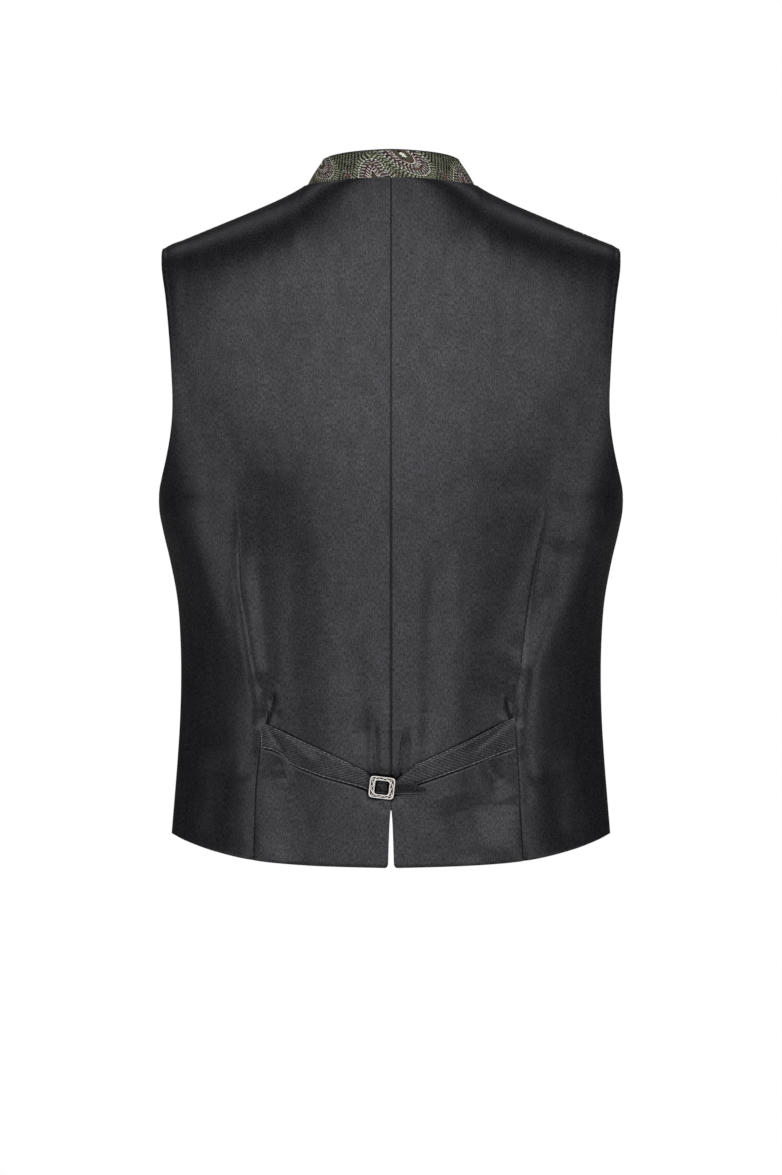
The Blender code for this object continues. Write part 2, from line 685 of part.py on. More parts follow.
def strap(name, cuts, across=5):
    cuts = np.array(cuts, float)
    run = np.gradient(cuts[:, [0, 3]], axis=0)
    run /= np.linalg.norm(run, axis=1, keepdims=True)
    sign = 1 if cuts[0, 0] < cuts[-1, 0] else -1  # which way round is outward from the back
    faces = []
    for half in (0.5, -0.5):
        x = cuts[:, 0] - sign * run[:, 1] * half * STRAP_WALL
        off = cuts[:, 3] + sign * run[:, 0] * half * STRAP_WALL
        share = np.linspace(0, 1, across)[None, :]
        z = cuts[:, 1:2] + (cuts[:, 2:3] - cuts[:, 1:2]) * share
        square = np.clip(1.8 - np.abs(x - BUCKLE_X) / 10, 0, 1)[:, None]
        x = x[:, None] - (z - BUCKLE_Z) * math.tan(math.radians(BUCKLE_TURN)) * square
        faces.append(on_back(x, z, np.repeat(off[:, None], across, 1)))
    wall(name, faces[0], faces[1])


BUCKLE_X, BUCKLE_Z, BUCKLE_TURN = 7.3, -493.1, 7.0
BUCKLE_HALF_X, BUCKLE_HALF_Z = 10.4, 8.95
WINDOW_HALF_X, WINDOW_HALF_Z = 5.65, 5.45
BUCKLE_FOOT = 2.95  # clear of the strap that passes under its sides


def buckle():
    """A frame with a grooved face, and the thin bar behind it that the right strap goes round."""
    centre = on_back(np.array(BUCKLE_X), np.array(BUCKLE_Z))
    turn = math.radians(BUCKLE_TURN)
    out = on_back(np.array(BUCKLE_X), np.array(BUCKLE_Z), np.array(1.0)) - centre
    up = np.array([-math.sin(turn), 0, math.cos(turn)])
    up -= out * (up @ out)
    up /= np.linalg.norm(up)
    along = np.cross(out, up)

    def place(a, b, c):
        return centre + along * a + up * b + out * c

    # The section of the frame: share of the way in from its outer edge, height above its foot.
    section = ((0, 0.3), (0, 1.7), (0.12, 2.3), (0.26, 2.3), (0.33, 1.85), (0.67, 1.85),
               (0.74, 2.3), (0.88, 2.3), (1, 1.7), (1, 0.3), (0.88, 0.0), (0.12, 0.0))
    rings = []
    for quarter in range(4):
        sx = 1 if quarter in (0, 3) else -1
        sz = 1 if quarter in (0, 1) else -1
        for step in range(5):
            angle = math.radians(90 * quarter + 22.5 * step)
            edges = [
                (sx * (half_x - corner) + corner * math.cos(angle), sz * (half_z - corner) + corner * math.sin(angle))
                for half_x, half_z, corner in (
                    (BUCKLE_HALF_X, BUCKLE_HALF_Z, 2.6), (WINDOW_HALF_X, WINDOW_HALF_Z, 0.8)
                )
            ]
            (a1, b1), (a2, b2) = edges
            rings.append([place(a1 + (a2 - a1) * t, b1 + (b2 - b1) * t, BUCKLE_FOOT + high) for t, high in section])
    count, around = len(rings), len(section)
    points = [p for one in rings for p in one]
    faces = []
    for i in range(count):
        for j in range(around):
            k, n = (i + 1) % count, (j + 1) % around
            faces.append((i * around + j, i * around + n, k * around + n, k * around + j))
    frame = new_object("buckle", points, faces)

    line = [(7.2, BUCKLE_FOOT + 0.9), (7.15, BUCKLE_FOOT + 0.1), (6.9, BAR_OFF + 0.15), (6.3, BAR_OFF)]
    line += [(-b, c) for b, c in reversed(line)]
    bar_rings = []
    for i, (b, c) in enumerate(line):
        before, after = line[max(i - 1, 0)], line[min(i + 1, len(line) - 1)]
        run = np.array([after[0] - before[0], after[1] - before[1]])
        run /= np.linalg.norm(run)
        bar_rings.append(
            [
                place(0.3 + 0.5 * math.cos(t), b + 0.5 * math.sin(t) * run[1], c - 0.5 * math.sin(t) * run[0])
                for t in np.radians(np.arange(0, 360, 45))
            ]
        )
    bar = swept("bar", bar_rings)
    join = frame.modifiers.new("bar", "BOOLEAN")
    join.operation, join.solver, join.object = "UNION", "EXACT", bar
    bpy.context.view_layer.update()
    joined = bpy.data.meshes.new_from_object(
        frame.evaluated_get(bpy.context.evaluated_depsgraph_get())
    )
    frame.modifiers.clear()
    frame.data = joined
    bpy.data.objects.remove(bar, do_unlink=True)


BUTTON_TOP, BUTTON_BOTTOM, BUTTONS = -80.0, -487.0, 7
# The outline of a button: radius and height above the cloth.
Turned = namedtuple("Turned", "radius high")
BUTTON = (
    Turned(2.2, 0.4), Turned(2.4, 1.6), Turned(8.3, 1.9), Turned(9.0, 2.6), Turned(8.7, 3.2),
    Turned(7.6, 3.5), Turned(5.4, 4.3), Turned(2.6, 4.9),
)


def front_point(x, z):
    """A point of the left front near centre front, with its outward direction."""
    low = panel(-1, 1, np.array([-0.05, 0.0, 0.05]), np.linspace(0.0, 3.0, 301))
    middle = low[:, 1]
    y = np.interp(z, middle[:, 2], middle[:, 1])
    slope = (np.interp(z + 4, middle[:, 2], middle[:, 1]) - np.interp(z - 4, middle[:, 2], middle[:, 1])) / 8
    normal = np.array([0, -1.0, slope])
    return np.array([x, y, z]), normal / np.linalg.norm(normal)


def button(name, z, around=14):
    at, out = front_point(0.0, z)
    side_way = np.array([1.0, 0, 0])
    up = np.cross(out, side_way)
    points = []
    for one in BUTTON:
        for k in range(around):
            t = 2 * math.pi * k / around
            points.append(at + side_way * one.radius * math.cos(t) + up * one.radius * math.sin(t) + out * one.high)
    points.append(at + out * 5.1)
    faces = [tuple(range(around))]
    for i in range(len(BUTTON) - 1):
        for k in range(around):
            a, b = i * around + k, i * around + (k + 1) % around
            faces.append((a, b, b + around, a + around))
    last = (len(BUTTON) - 1) * around
    faces += [(last + k, last + (k + 1) % around, len(points) - 1) for k in range(around)]
    new_object(name, points, faces)


for old in list(bpy.data.objects):
    bpy.data.objects.remove(old, do_unlink=True)
for old in list(bpy.data.materials):
    bpy.data.materials.remove(old)

back_half("back_left", 1)
back_half("back_right", -1)
front_half("front_left", 1)
front_half("front_right", -1)
collar()
strap("strap_left", LEFT_STRAP)
strap("strap_right", right_strap_cuts())
buckle()
for number in range(BUTTONS):
    button(f"button_{number + 1}", BUTTON_TOP + (BUTTON_BOTTOM - BUTTON_TOP) * number / (BUTTONS - 1))
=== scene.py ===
"""A man's waistcoat, dressed for a studio picture from behind.

Black satin back with a centre seam, two darts, cinch straps and a small ornamental buckle;
patterned fronts and stand collar. Shapes are worked out in millimetres and made in metres,
with +Z up, the back towards +Y and +X on the wearer's left.
"""

import math
from collections import namedtuple

import bmesh
import bpy
import numpy as np
from bpy.props import FloatProperty, FloatVectorProperty, IntProperty, PointerProperty
from mathutils import Matrix, Vector


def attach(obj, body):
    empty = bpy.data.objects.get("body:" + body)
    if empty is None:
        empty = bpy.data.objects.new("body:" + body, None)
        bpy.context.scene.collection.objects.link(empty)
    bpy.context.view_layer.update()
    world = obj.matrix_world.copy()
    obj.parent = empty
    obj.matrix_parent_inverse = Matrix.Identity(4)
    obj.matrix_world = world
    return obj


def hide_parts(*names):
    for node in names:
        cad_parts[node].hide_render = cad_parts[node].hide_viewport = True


bl_info = {
    "name": "Waistcoat",
    "version": (1, 0, 0),
    "blender": (4, 5, 0),
    "location": "3D View > Sidebar > Waistcoat",
    "description": "Sews a man's waistcoat round its plain solids and lights it from behind",
    "category": "Object",
}

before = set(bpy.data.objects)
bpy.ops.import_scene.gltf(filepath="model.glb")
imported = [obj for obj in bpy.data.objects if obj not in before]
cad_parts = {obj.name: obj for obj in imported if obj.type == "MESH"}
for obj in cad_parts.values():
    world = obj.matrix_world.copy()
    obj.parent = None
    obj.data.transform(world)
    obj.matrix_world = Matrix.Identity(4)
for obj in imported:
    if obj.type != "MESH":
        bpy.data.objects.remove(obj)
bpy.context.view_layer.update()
MM = 0.001


def table(kind, *rows):
    """Rows of numbers, with columns named as in `kind`."""
    return tuple(kind._make(row) for row in rows)


# ---------------------------------------------------------------- sizes and cut

SEAM = 0.04  # what shows between two sewn edges
BACK_WALL, FRONT_WALL, COLLAR_WALL, FACING_WALL, STRAP_WALL = 1.6, 1.8, 1.9, 1.2, 1.0
ROUND = 2.3  # how square the body's level sections are; 2 is an ellipse
MID_Y = -10.0  # y of the widest point of every level section
UNDERARM_Z = -259.2
SIDE_SEAM_DEG = 97.0  # from centre back
NECK_HALF = 70.5
NECK_BACK, NECK_FRONT = 62.0, -66.0
OVERLAP = 18.0  # how far the left front passes centre front

# Half the width of the body at the side, with the y of its middle back and middle front.
Level = namedtuple("Level", "z half back front")
LEVELS = table(
    Level,
    (-570, 184.6, 93.4, -139.5),
    (-536, 182.2, 94.2, -138.5),
    (-507, 179.8, 95.0, -137.0),
    (-474, 177.2, 96.0, -135.0),
    (-441, 175.2, 97.4, -133.0),
    (-408, 174.4, 99.0, -132.0),
    (-375, 175.0, 100.9, -132.5),
    (-342, 177.4, 103.0, -134.5),
    (-309, 183.4, 105.4, -137.5),
    (-284, 189.2, 107.3, -139.5),
    (-268, 192.2, 108.5, -140.2),
    (UNDERARM_Z, 192.6, 109.0, -140.0),
    (-220, 194.0, 110.5, -136.0),
    (-182, 194.0, 109.5, -128.5),
    (-140, 194.0, 106.0, -121.0),
    (-100, 194.0, 102.5, -114.0),
    (-52, 194.0, 98.0, -106.0),
    (10, 194.0, 94.0, -99.0),
)

# Where the back turns away to the side: distance from centre back, and how straight the section
# runs from there to the side seam, from 0, as round as elsewhere, to 1.
Turn = namedtuple("Turn", "z x share")
TURNS = table(
    Turn,
    (-570, 101.0, 0.80),
    (-500, 107.0, 0.90),
    (-460, 110.0, 0.95),
    (-425, 115.0, 0.95),
    (-392, 124.0, 0.85),
    (-358, 138.0, 0.65),
    (-325, 152.0, 0.40),
    (-292, 161.0, 0.15),
    (UNDERARM_Z, 165.0, 0.0),
    (10, 165.0, 0.0),
)

# Armhole edges: distance from the middle plane, and the angle round the section.
Edge = namedtuple("Edge", "z x deg")
BACK_ARMHOLE = table(
    Edge,
    (UNDERARM_Z, 192.6, 97.0),
    (-256.5, 192.5, 90.0),
    (-251.0, 191.6, 83.0),
    (-242.6, 189.3, 75.5),
    (-226.0, 184.8, 67.5),
    (-209.5, 181.3, 62.5),
    (-192.9, 179.2, 59.2),
    (-176.4, 178.7, 57.0),
    (-159.8, 179.3, 55.6),
    (-126.7, 181.6, 54.4),
    (-93.6, 185.2, 53.6),
    (-68.7, 189.1, 53.2),
    (-58.0, 190.0, 53.0),
    (20.0, 190.0, 53.0),
)
FRONT_ARMHOLE = table(
    Edge,
    (UNDERARM_Z, 191.35, 83.0),
    (-257.6, 189.4, 77.5),
    (-253.2, 184.9, 71.0),
    (-245.0, 178.9, 65.0),
    (-232.0, 172.6, 59.5),
    (-215.0, 168.0, 55.0),
    (-193.0, 165.6, 52.2),
    (-176.4, 165.2, 50.8),
    (-159.8, 165.8, 50.0),
    (-126.7, 169.6, 49.2),
    (-93.6, 177.6, 48.6),
    (-68.7, 186.4, 48.2),
    (-58.0, 190.0, 48.0),
    (20.0, 190.0, 48.0),
)

# The shoulder seam, from the neck outwards.
Seam = namedtuple("Seam", "x y z")
SHOULDER = table(
    Seam,
    (NECK_HALF, 0.0, 0.8),
    (77.3, 0.4, -3.3),
    (92.0, 1.2, -10.8),
    (110.2, 2.2, -19.0),
    (129.4, 3.2, -27.3),
    (149.0, 4.0, -35.6),
    (169.1, 4.7, -43.9),
    (184.5, 5.0, -50.4),
    (188.6, 5.0, -53.6),
    (190.0, 5.0, -58.0),
)

# Hem heights: the back by the angle from centre back, the fronts by x.
Hem = namedtuple("Hem", "deg z")
BACK_HEM = table(
    Hem,
    (0, -558.6),
    (20, -556.6),
    (35, -553.4),
    (50, -547.6),
    (65, -541.0),
    (78, -536.6),
    (97, -535.0),
)
FRONT_HEM = table(Hem, (0, -566.0), (30, -556.0), (55, -545.5), (75, -537.0), (83, -535.0))
# the fronts' points, and where their edges turn to them
POINT_X, POINT_Z, CUT_Z = 58.0, -566.0, -500.0

# Back darts: distance of the sewn line from centre back.
Dart = namedtuple("Dart", "z left right")
DARTS = table(
    Dart,
    (-558.0, 113.6, 109.0),
    (-457.0, 109.5, 104.8),
    (-437.0, 105.6, 103.2),
    (-398.0, 112.0, 107.6),
    (-360.0, 117.8, 112.8),
    (-334.0, 122.0, 116.4),
    (-280.0, 125.5, 123.8),
    (-243.0, 127.0, 125.4),
    (-150.0, 126.0, 125.0),
    (20.0, 126.0, 125.0),
)
DART_TOP = -262.0

# Soft troughs in the cloth, as lines from their top to their bottom; x is above 0 on the left.
Fold = namedtuple("Fold", "x1 z1 x2 z2 half deep")
BACK_FOLDS = table(
    Fold,
    # the hollows beside the small of the back
    (102, -262, 93, -530, 22, 5.4),
    (-150, -288, -92, -398, 20, 5.0),
    (-90, -396, -88, -530, 20, 5.2),
    # drawn in by the straps
    (30, -380, 21, -462, 9, 1.1),
    (-36, -300, -30, -458, 10, 1.6),
    (110, -404, 94, -438, 7, 2.0),
    (-108, -400, -95, -436, 7, 2.0),
    # below the straps
    (84, -486, 90, -552, 13, 1.5),
    (-78, -468, -93, -500, 9, 2.0),
    (-50, -505, -62, -560, 14, 1.5),
    (140, -470, 146, -545, 12, 1.6),
    (-134, -470, -141, -545, 12, 1.8),
    # below the shoulders
    (150, -190, 138, -300, 13, 1.6),
    (-152, -180, -146, -285, 13, 1.6),
)
FRONT_FOLDS = table(
    Fold,
    (120, -190, 96, -330, 16, 2.4),
    (-117, -190, -99, -330, 16, 2.4),
    (88, -330, 84, -470, 15, 2.0),
    (-90, -330, -80, -470, 15, 2.0),
    (150, -300, 132, -440, 14, 2.4),
    (-153, -300, -134, -440, 14, 2.4),
    (40, -420, 52, -540, 14, 1.8),
    (-43, -420, -50, -540, 14, 1.8),
    (130, -470, 118, -548, 14, 1.8),
    (-126, -470, -120, -548, 14, 1.8),
)

VENT_TOP, VENT_HALF = -511.6, 2.35


ARMHOLES = {1: BACK_ARMHOLE, -1: FRONT_ARMHOLE}
SIDE_DEG = {1: SIDE_SEAM_DEG, -1: 180 - SIDE_SEAM_DEG}
HALF_GAP_DEG = math.degrees(SEAM / 2 / 192)  # half the side seam's gap, on the underarm's radius


def curve(keys, values, at):
    """A smooth curve through the values at rising keys, read at `at`."""
    slopes = np.gradient(values, keys, axis=0)
    at = np.clip(np.asarray(at, float), keys[0], keys[-1])
    i = np.clip(np.searchsorted(keys, at, side="right") - 1, 0, len(keys) - 2)
    step, gone = keys[i + 1] - keys[i], at - keys[i]
    if values.ndim > 1:
        step, gone = step[:, None], gone[:, None]
    t = gone / step
    return (
        values[i] * (1 + 2 * t) * (1 - t) ** 2
        + slopes[i] * step * t * (1 - t) ** 2
        + values[i + 1] * t**2 * (3 - 2 * t)
        + slopes[i + 1] * step * t**2 * (t - 1)
    )


def column(rows, name):
    return np.array([getattr(row, name) for row in rows], float)


def follow(rows, key, value, at):
    """A smooth curve through two columns of a table, read at `at`."""
    return curve(column(rows, key), column(rows, value), at)


def power(value, exponent):
    return np.sign(value) * np.abs(value) ** exponent


def unit(vectors):
    return vectors / np.linalg.norm(vectors, axis=-1, keepdims=True)


def bell(away, half):
    """1 at 0, falling softly to both sides."""
    return np.exp(-((away / half) ** 2))


def smooth(low, high, value):
    t = np.clip((value - low) / (high - low), 0, 1)
    return t * t * (3 - 2 * t)


def run_of(points):
    """Distance run at each point of a line."""
    return np.concatenate([[0], np.cumsum(np.linalg.norm(np.diff(points, axis=0), axis=1))])


def depth(face, z):
    """How far the middle of this face lies from the body's widest point."""
    return np.abs(follow(LEVELS, "z", "back" if face > 0 else "front", z) - MID_Y)


def reach(face, z):
    """Half-width of the level section that the edge of this face lies on."""
    angle = np.radians(np.minimum(follow(ARMHOLES[face], "z", "deg", z), 90.0))
    edge = follow(ARMHOLES[face], "z", "x", z) / power(np.sin(angle), 2 / ROUND)
    return np.where(z < UNDERARM_Z, follow(LEVELS, "z", "half", z), edge)


def edge_deg(face, z):
    return np.where(z < UNDERARM_Z, SIDE_DEG[face], follow(ARMHOLES[face], "z", "deg", z))


def turned(face, z, x, y):
    """y, with the back turned away to the side beyond its turning line."""
    if face < 0:
        return y
    half, start = reach(face, z), follow(TURNS, "z", "x", z)
    share = np.clip(np.abs(x) / half, 0, 1)
    high = depth(1, z) * (1 - np.clip(start / half, 0, 1) ** ROUND) ** (1 / ROUND)
    left = np.clip((half - np.abs(x)) / np.maximum(half - start, 1.0), 0, None)
    straight = MID_Y + high * left**0.8
    soft = 9.0 * (1 - share**6)
    lower = 0.5 * (y + straight - np.sqrt((y - straight) ** 2 + soft**2))
    return y + (lower - y) * follow(TURNS, "z", "share", z)


def ring(face, z, deg):
    """x and y of the body at height z, deg round from the middle of this face."""
    angle = np.radians(deg)
    deep = np.where(np.cos(angle) > 0, depth(face, z), depth(-face, z))
    x = reach(face, z) * power(np.sin(angle), 2 / ROUND)
    y = MID_Y + face * deep * power(np.cos(angle), 2 / ROUND)
    return x, np.where(np.cos(angle) > 0, turned(face, z, x, y), y)


def deg_at(face, z, x):
    share = np.clip(np.abs(x) / reach(face, z), 0, 1)
    return np.sign(x) * np.degrees(np.arcsin(share ** (ROUND / 2)))


def level_y(face, z, x):
    """y of the body at height z and distance x from the middle plane."""
    share = np.clip(np.abs(x) / reach(face, z), 0, 1)
    return turned(face, z, x, MID_Y + face * depth(face, z) * (1 - share**ROUND) ** (1 / ROUND))


def column_deg(face, side, q, z):
    """Angle of a column: q 0 to 1 runs to the dart or the front's point, 1 to 2 to the edge."""
    if face > 0:
        inner = deg_at(face, z, follow(DARTS, "z", "left" if side > 0 else "right", z))
    else:
        inner = deg_at(face, z, POINT_X + 0 * z)
    return np.where(q < 1, inner * q, inner + (edge_deg(face, z) - inner) * (q - 1))


def neck_point(face, x):
    """y and z of the neck seam at distance x from the middle plane."""
    turn = np.sqrt(np.clip(1 - (x / NECK_HALF) ** 2, 0, 1))
    if face > 0:
        return NECK_BACK * turn, 0.6 + 2.4 * turn**3
    return NECK_FRONT * turn, 0.8 - 52.8 * turn**1.3


NECK_Q = {1: 0.58, -1: 1.0}


def top_point(face, side, q):
    """Top of a column: x, y, z, and how round the cloth turns to reach it."""
    neck_q = NECK_Q[face]
    z0 = np.full_like(q, -120.0)

    def across(q):
        x = ring(face, z0, column_deg(face, side, q, z0))[0]
        return x / follow(ARMHOLES[face], "z", "x", z0)

    share, at_neck = across(q), across(np.full_like(q, neck_q))
    turn = np.radians(90 * np.clip(q / neck_q, 0, 1))
    turn = turn + np.arcsin(np.clip(q, -1, 0) * POINT_X / NECK_HALF)
    tip = SHOULDER[-1].x
    x_shoulder = NECK_HALF + (tip - NECK_HALF) * np.clip((share - at_neck) / (1 - at_neck), 0, 1)
    on_neck = q <= neck_q
    x = np.where(on_neck, NECK_HALF * np.sin(turn), x_shoulder)
    y_neck, z_neck = neck_point(face, np.where(on_neck, x, NECK_HALF))
    y = np.where(on_neck, y_neck, follow(SHOULDER, "x", "y", x)) + face * SEAM / 2 * ~on_neck
    z = np.where(on_neck, z_neck, follow(SHOULDER, "x", "z", x))
    roundness = np.where(on_neck, np.sin(turn) ** 2, 1.0)
    # depth of the shoulder's curve: in the middle, at the neck end of the shoulder and at its tip
    middle, at_neck_end, at_tip = 130, 105.0 if face > 0 else 165.0, 98
    out = (x - NECK_HALF) / (tip - NECK_HALF)
    by_neck = middle + (at_neck_end - middle) * np.sin(turn) ** 2
    deep = np.where(on_neck, by_neck, at_neck_end + (at_tip - at_neck_end) * out)
    return x, y, z, roundness, deep


def hem_z(face, deg, x):
    if face > 0:
        return follow(BACK_HEM, "deg", "z", np.abs(deg))
    start = deg_at(face, np.full_like(deg, POINT_Z), np.full_like(deg, POINT_X))
    outer = follow(FRONT_HEM, "deg", "z", (deg - start) / (83 - start) * 83)
    cut = CUT_Z + (POINT_Z - CUT_Z) * (x + OVERLAP) / (POINT_X + OVERLAP)
    return np.where(x < POINT_X - 1e-6, cut, outer)


def panel(face, side, q, r):
    """Outer points of one half of the back (face 1) or one front (face -1), made for +X.

    q runs across from the middle; r runs up: 0 hem, 1 underarm, 2 foot of the shoulder
    curve, 3 neck and shoulder seams.
    """
    q, r = np.meshgrid(np.asarray(q, float), np.asarray(r, float))
    x_top, y_top, z_top, roundness, deep = top_point(face, side, q)
    low = np.full_like(q, -545.0)
    deg_low = column_deg(face, side, q, low)
    z_low = hem_z(face, deg_low, ring(face, low, deg_low)[0])
    turn = np.radians(90 * np.clip(3 - r, -0.2, 1))
    z = np.where(
        r < 1,
        z_low + (UNDERARM_Z - z_low) * r,
        np.where(
            r < 2,
            UNDERARM_Z + (z_top - deep - UNDERARM_Z) * (r - 1),
            z_top - deep * (1 - np.cos(turn)),
        ),
    )
    deg = column_deg(face, side, q, z)
    x, y = ring(face, z, deg)
    edge_x = follow(ARMHOLES[face], "z", "x", z)
    toward = np.where(r > 2, 1 - np.sin(turn), 0.0)
    x_high = edge_x * ((1 - toward) * x / edge_x + toward * x_top / SHOULDER[-1].x)
    x = np.where(r > 2, x_high, x)
    bend = roundness * np.sin(turn) + (1 - roundness) * np.sin(turn) ** 2
    y = np.where(r > 2, y_top + (level_y(face, z, x) - y_top) * bend, y)
    return np.stack([x, y, z], axis=2)


def normals_of(points, face):
    """Outward directions at the points of a grid, with rows up and columns outwards."""
    across = points[1:, 1:] - points[:-1, :-1]
    back = points[1:, :-1] - points[:-1, 1:]
    cells = np.cross(back, across) * face
    total = np.zeros_like(points)
    for rows in (slice(None, -1), slice(1, None)):
        for columns in (slice(None, -1), slice(1, None)):
            total[rows, columns] += cells
    return unit(total)


def seam_normals(normals, points, face, r):
    """Turn the wall square to its seams, so that the pieces on both sides keep their gap."""
    if face > 0:
        normals[:, 0, 0] = 0
    x, y, z = points[:, -1].T
    below = (r <= 1)[:, None]
    near = np.where((y - MID_Y) * face > 0, depth(face, z), depth(-face, z))
    half = follow(LEVELS, "z", "half", z)
    sides = power(x / half, ROUND - 1) / half, power((y - MID_Y) / near, ROUND - 1) / near
    level = unit(np.stack([*sides, 0 * z], axis=1))
    edge = normals[:, -1]
    tilt = edge[:, 2:3]
    level = level * np.sqrt(1 - tilt**2)
    level[:, 2:3] = tilt
    normals[:, -1] = np.where(below, level, edge)
    on_shoulder = points[-1, :, 0] > NECK_HALF - 1e-3
    normals[-1, on_shoulder, 1] = 0
    return unit(normals)


def drawn_in(x, z, folds, side, fade):
    """How far the folds of one side draw the cloth in; x is above 0 on both sides."""
    inward = np.zeros_like(x)
    for fold in folds:
        if fold.x1 * side < 0:
            continue
        x1, x2 = abs(fold.x1), abs(fold.x2)
        length = math.hypot(x2 - x1, fold.z2 - fold.z1)
        along = ((x - x1) * (x2 - x1) + (z - fold.z1) * (fold.z2 - fold.z1)) / length**2
        t = np.clip(along, 0, 1)
        gap = np.hypot(x - (x1 + t * (x2 - x1)), z - (fold.z1 + t * (fold.z2 - fold.z1)))
        inward += fold.deep * fade(np.minimum(along, 1 - along)) * bell(gap, fold.half)
    return inward


def sunk(x, z, folds, side):
    """The large troughs, which the plain solids have too."""
    return drawn_in(x, z, folds, side, lambda inside: np.clip(inside * 4 + 0.35, 0, 1))


def dented(x, z, creases, side):
    """The finer creases."""
    return drawn_in(x, z, creases, side, lambda inside: smooth(-0.08, 0.30, inside))


def folded(points, normals, folds, side):
    """Points of one side moved in along their normals by that side's troughs."""
    x, z = points[:, :, 0], points[:, :, 2]
    inward = sunk(x, z, folds, side)
    if folds is FRONT_FOLDS:
        inward *= np.clip((np.abs(x) - 22) / 12, 0, 1)
    return points - normals * inward[:, :, None]


# Columns of the plain solids, whose neck seam the collar follows.
BACK_Q = np.array(
    [0, 0.05, 0.1, 0.16, 0.235, 0.33, 0.45, 0.58, 0.7, 0.8, 0.89, 0.955, 1,
     1.07, 1.16, 1.28, 1.41, 1.55, 1.69, 1.81, 1.91, 2]
)
FRONT_Q = np.array(
    [-0.31, -0.16, 0, 0.22, 0.46, 0.68, 0.86, 1, 1.09, 1.2, 1.32, 1.45, 1.58, 1.7, 1.81, 1.91, 2]
)
WIDE = 20  # troughs at least this wide carry the straps in with them


def on_back(x, z, out=0.0):
    """A point `out` beyond the back, over x and z, with only its wide hollows."""
    step = 2.0
    y = level_y(1, z, x)
    slope_x = (level_y(1, z, x + step) - level_y(1, z, x - step)) / (2 * step)
    slope_z = (level_y(1, z + step, x) - level_y(1, z - step, x)) / (2 * step)
    normal = unit(np.stack([-slope_x, np.ones_like(y), -slope_z], axis=-1))
    hollows = [fold for fold in BACK_FOLDS if fold.half >= WIDE]
    low = np.where(x > 0, sunk(np.abs(x), z, hollows, 1), sunk(np.abs(x), z, hollows, -1))
    return np.stack([x, y, z], axis=-1) + normal * (np.asarray(out) - low)[..., None]


# The stand collar: its height and how far it leans in, by the angle from centre back.
Stand = namedtuple("Stand", "deg tall lean")
STAND = table(
    Stand,
    (0, 24.2, 12.0),
    (45, 24.2, 20.0),
    (75, 24.4, 30.0),
    (90, 24.4, 33.0),
    (130, 25.0, 26.0),
    (180, 25.0, 17.0),
)
COLLAR_END_X = 7.0
COLLAR_CORNER = 9.0
COLLAR_BOW = 0.7  # how far it bows out at half its height


def collar_frames(count):
    """Foot, upward and outward directions and height, from the right end round to the left."""
    end = 180 - math.degrees(math.asin(COLLAR_END_X / NECK_HALF))
    share = np.linspace(-1, 1, count)
    turn = np.radians(end * (share + 0.06 * np.sin(math.pi * share)))
    back_q = BACK_Q[BACK_Q <= NECK_Q[1]]
    front_q = FRONT_Q[(FRONT_Q >= 0) & (FRONT_Q < 1)][::-1]
    at = np.concatenate([90 * back_q / NECK_Q[1], 180 - 90 * front_q])
    x, y, z = (
        np.concatenate([one, two])
        for one, two in zip(top_point(1, 1, back_q)[:3], top_point(-1, 1, front_q)[:3])
    )
    deg = np.degrees(np.abs(turn))
    foot = np.stack([np.interp(deg, at, one) for one in (x, y, z)], axis=1)
    foot[:, 0] *= np.sign(turn)
    along = unit(np.gradient(foot, axis=0))
    lean = np.radians(follow(STAND, "deg", "lean", deg))
    up = np.stack([-np.sin(turn), -np.cos(turn), 0 * turn], axis=1) * np.sin(lean)[:, None]
    up[:, 2] = np.cos(lean)
    up = unit(up - along * (up * along).sum(1, keepdims=True))
    out = unit(np.cross(up, along))
    run = run_of(foot)
    from_end = np.minimum(run, run[-1] - run)
    lost = COLLAR_CORNER - np.sqrt(
        np.clip(COLLAR_CORNER**2 - np.clip(COLLAR_CORNER - from_end, 0, None) ** 2, 0, None)
    )
    tall = follow(STAND, "deg", "tall", deg) - 0.8 * lost
    return foot, up, out, tall


# The cinch straps from their dart to their end: the height of both edges, and how far the
# middle of the cloth stands off the back.
Cut = namedtuple("Cut", "x top bottom off")
LEFT_STRAP = table(
    Cut,
    (107.0, -441.4, -462.0, 0.8),
    (102.0, -443.4, -462.8, 0.8),
    (97.4, -445.3, -464.0, 0.8),
    (90.8, -447.8, -467.3, 0.8),
    (83.3, -450.9, -473.8, 0.8),
    (76.0, -454.2, -477.4, 0.8),
    (66.0, -458.6, -480.9, 0.8),
    (56.1, -463.0, -484.4, 0.8),
    (47.8, -466.9, -486.7, 0.8),
    (39.6, -470.8, -488.9, 0.8),
    (29.0, -476.0, -491.8, 0.8),
    (19.4, -481.4, -494.9, 0.85),
    (17.0, -483.6, -496.2, 1.3),
    (14.8, -485.8, -497.0, 2.0),
    (12.9, -487.7, -497.1, 2.25),
    (11.3, -488.0, -497.3, 3.6),
    (9.9, -488.1, -497.5, 4.6),
    (7.6, -488.4, -497.8, 4.75),
    (5.2, -488.7, -498.1, 4.6),
    (3.6, -488.9, -498.2, 3.6),
    (1.7, -489.0, -498.4, 2.2),
    (-1.0, -488.2, -499.2, 2.1),
    (-5.0, -487.8, -499.2, 2.2),
    (-12.0, -487.8, -499.0, 2.6),
    (-17.4, -488.9, -499.0, 2.7),
    (-21.9, -491.0, -498.9, 2.6),
    (-25.6, -492.4, -498.7, 2.4),
    (-28.2, -494.0, -498.2, 2.2),
)
BAR_OFF, WRAP = 2.1, 1.3


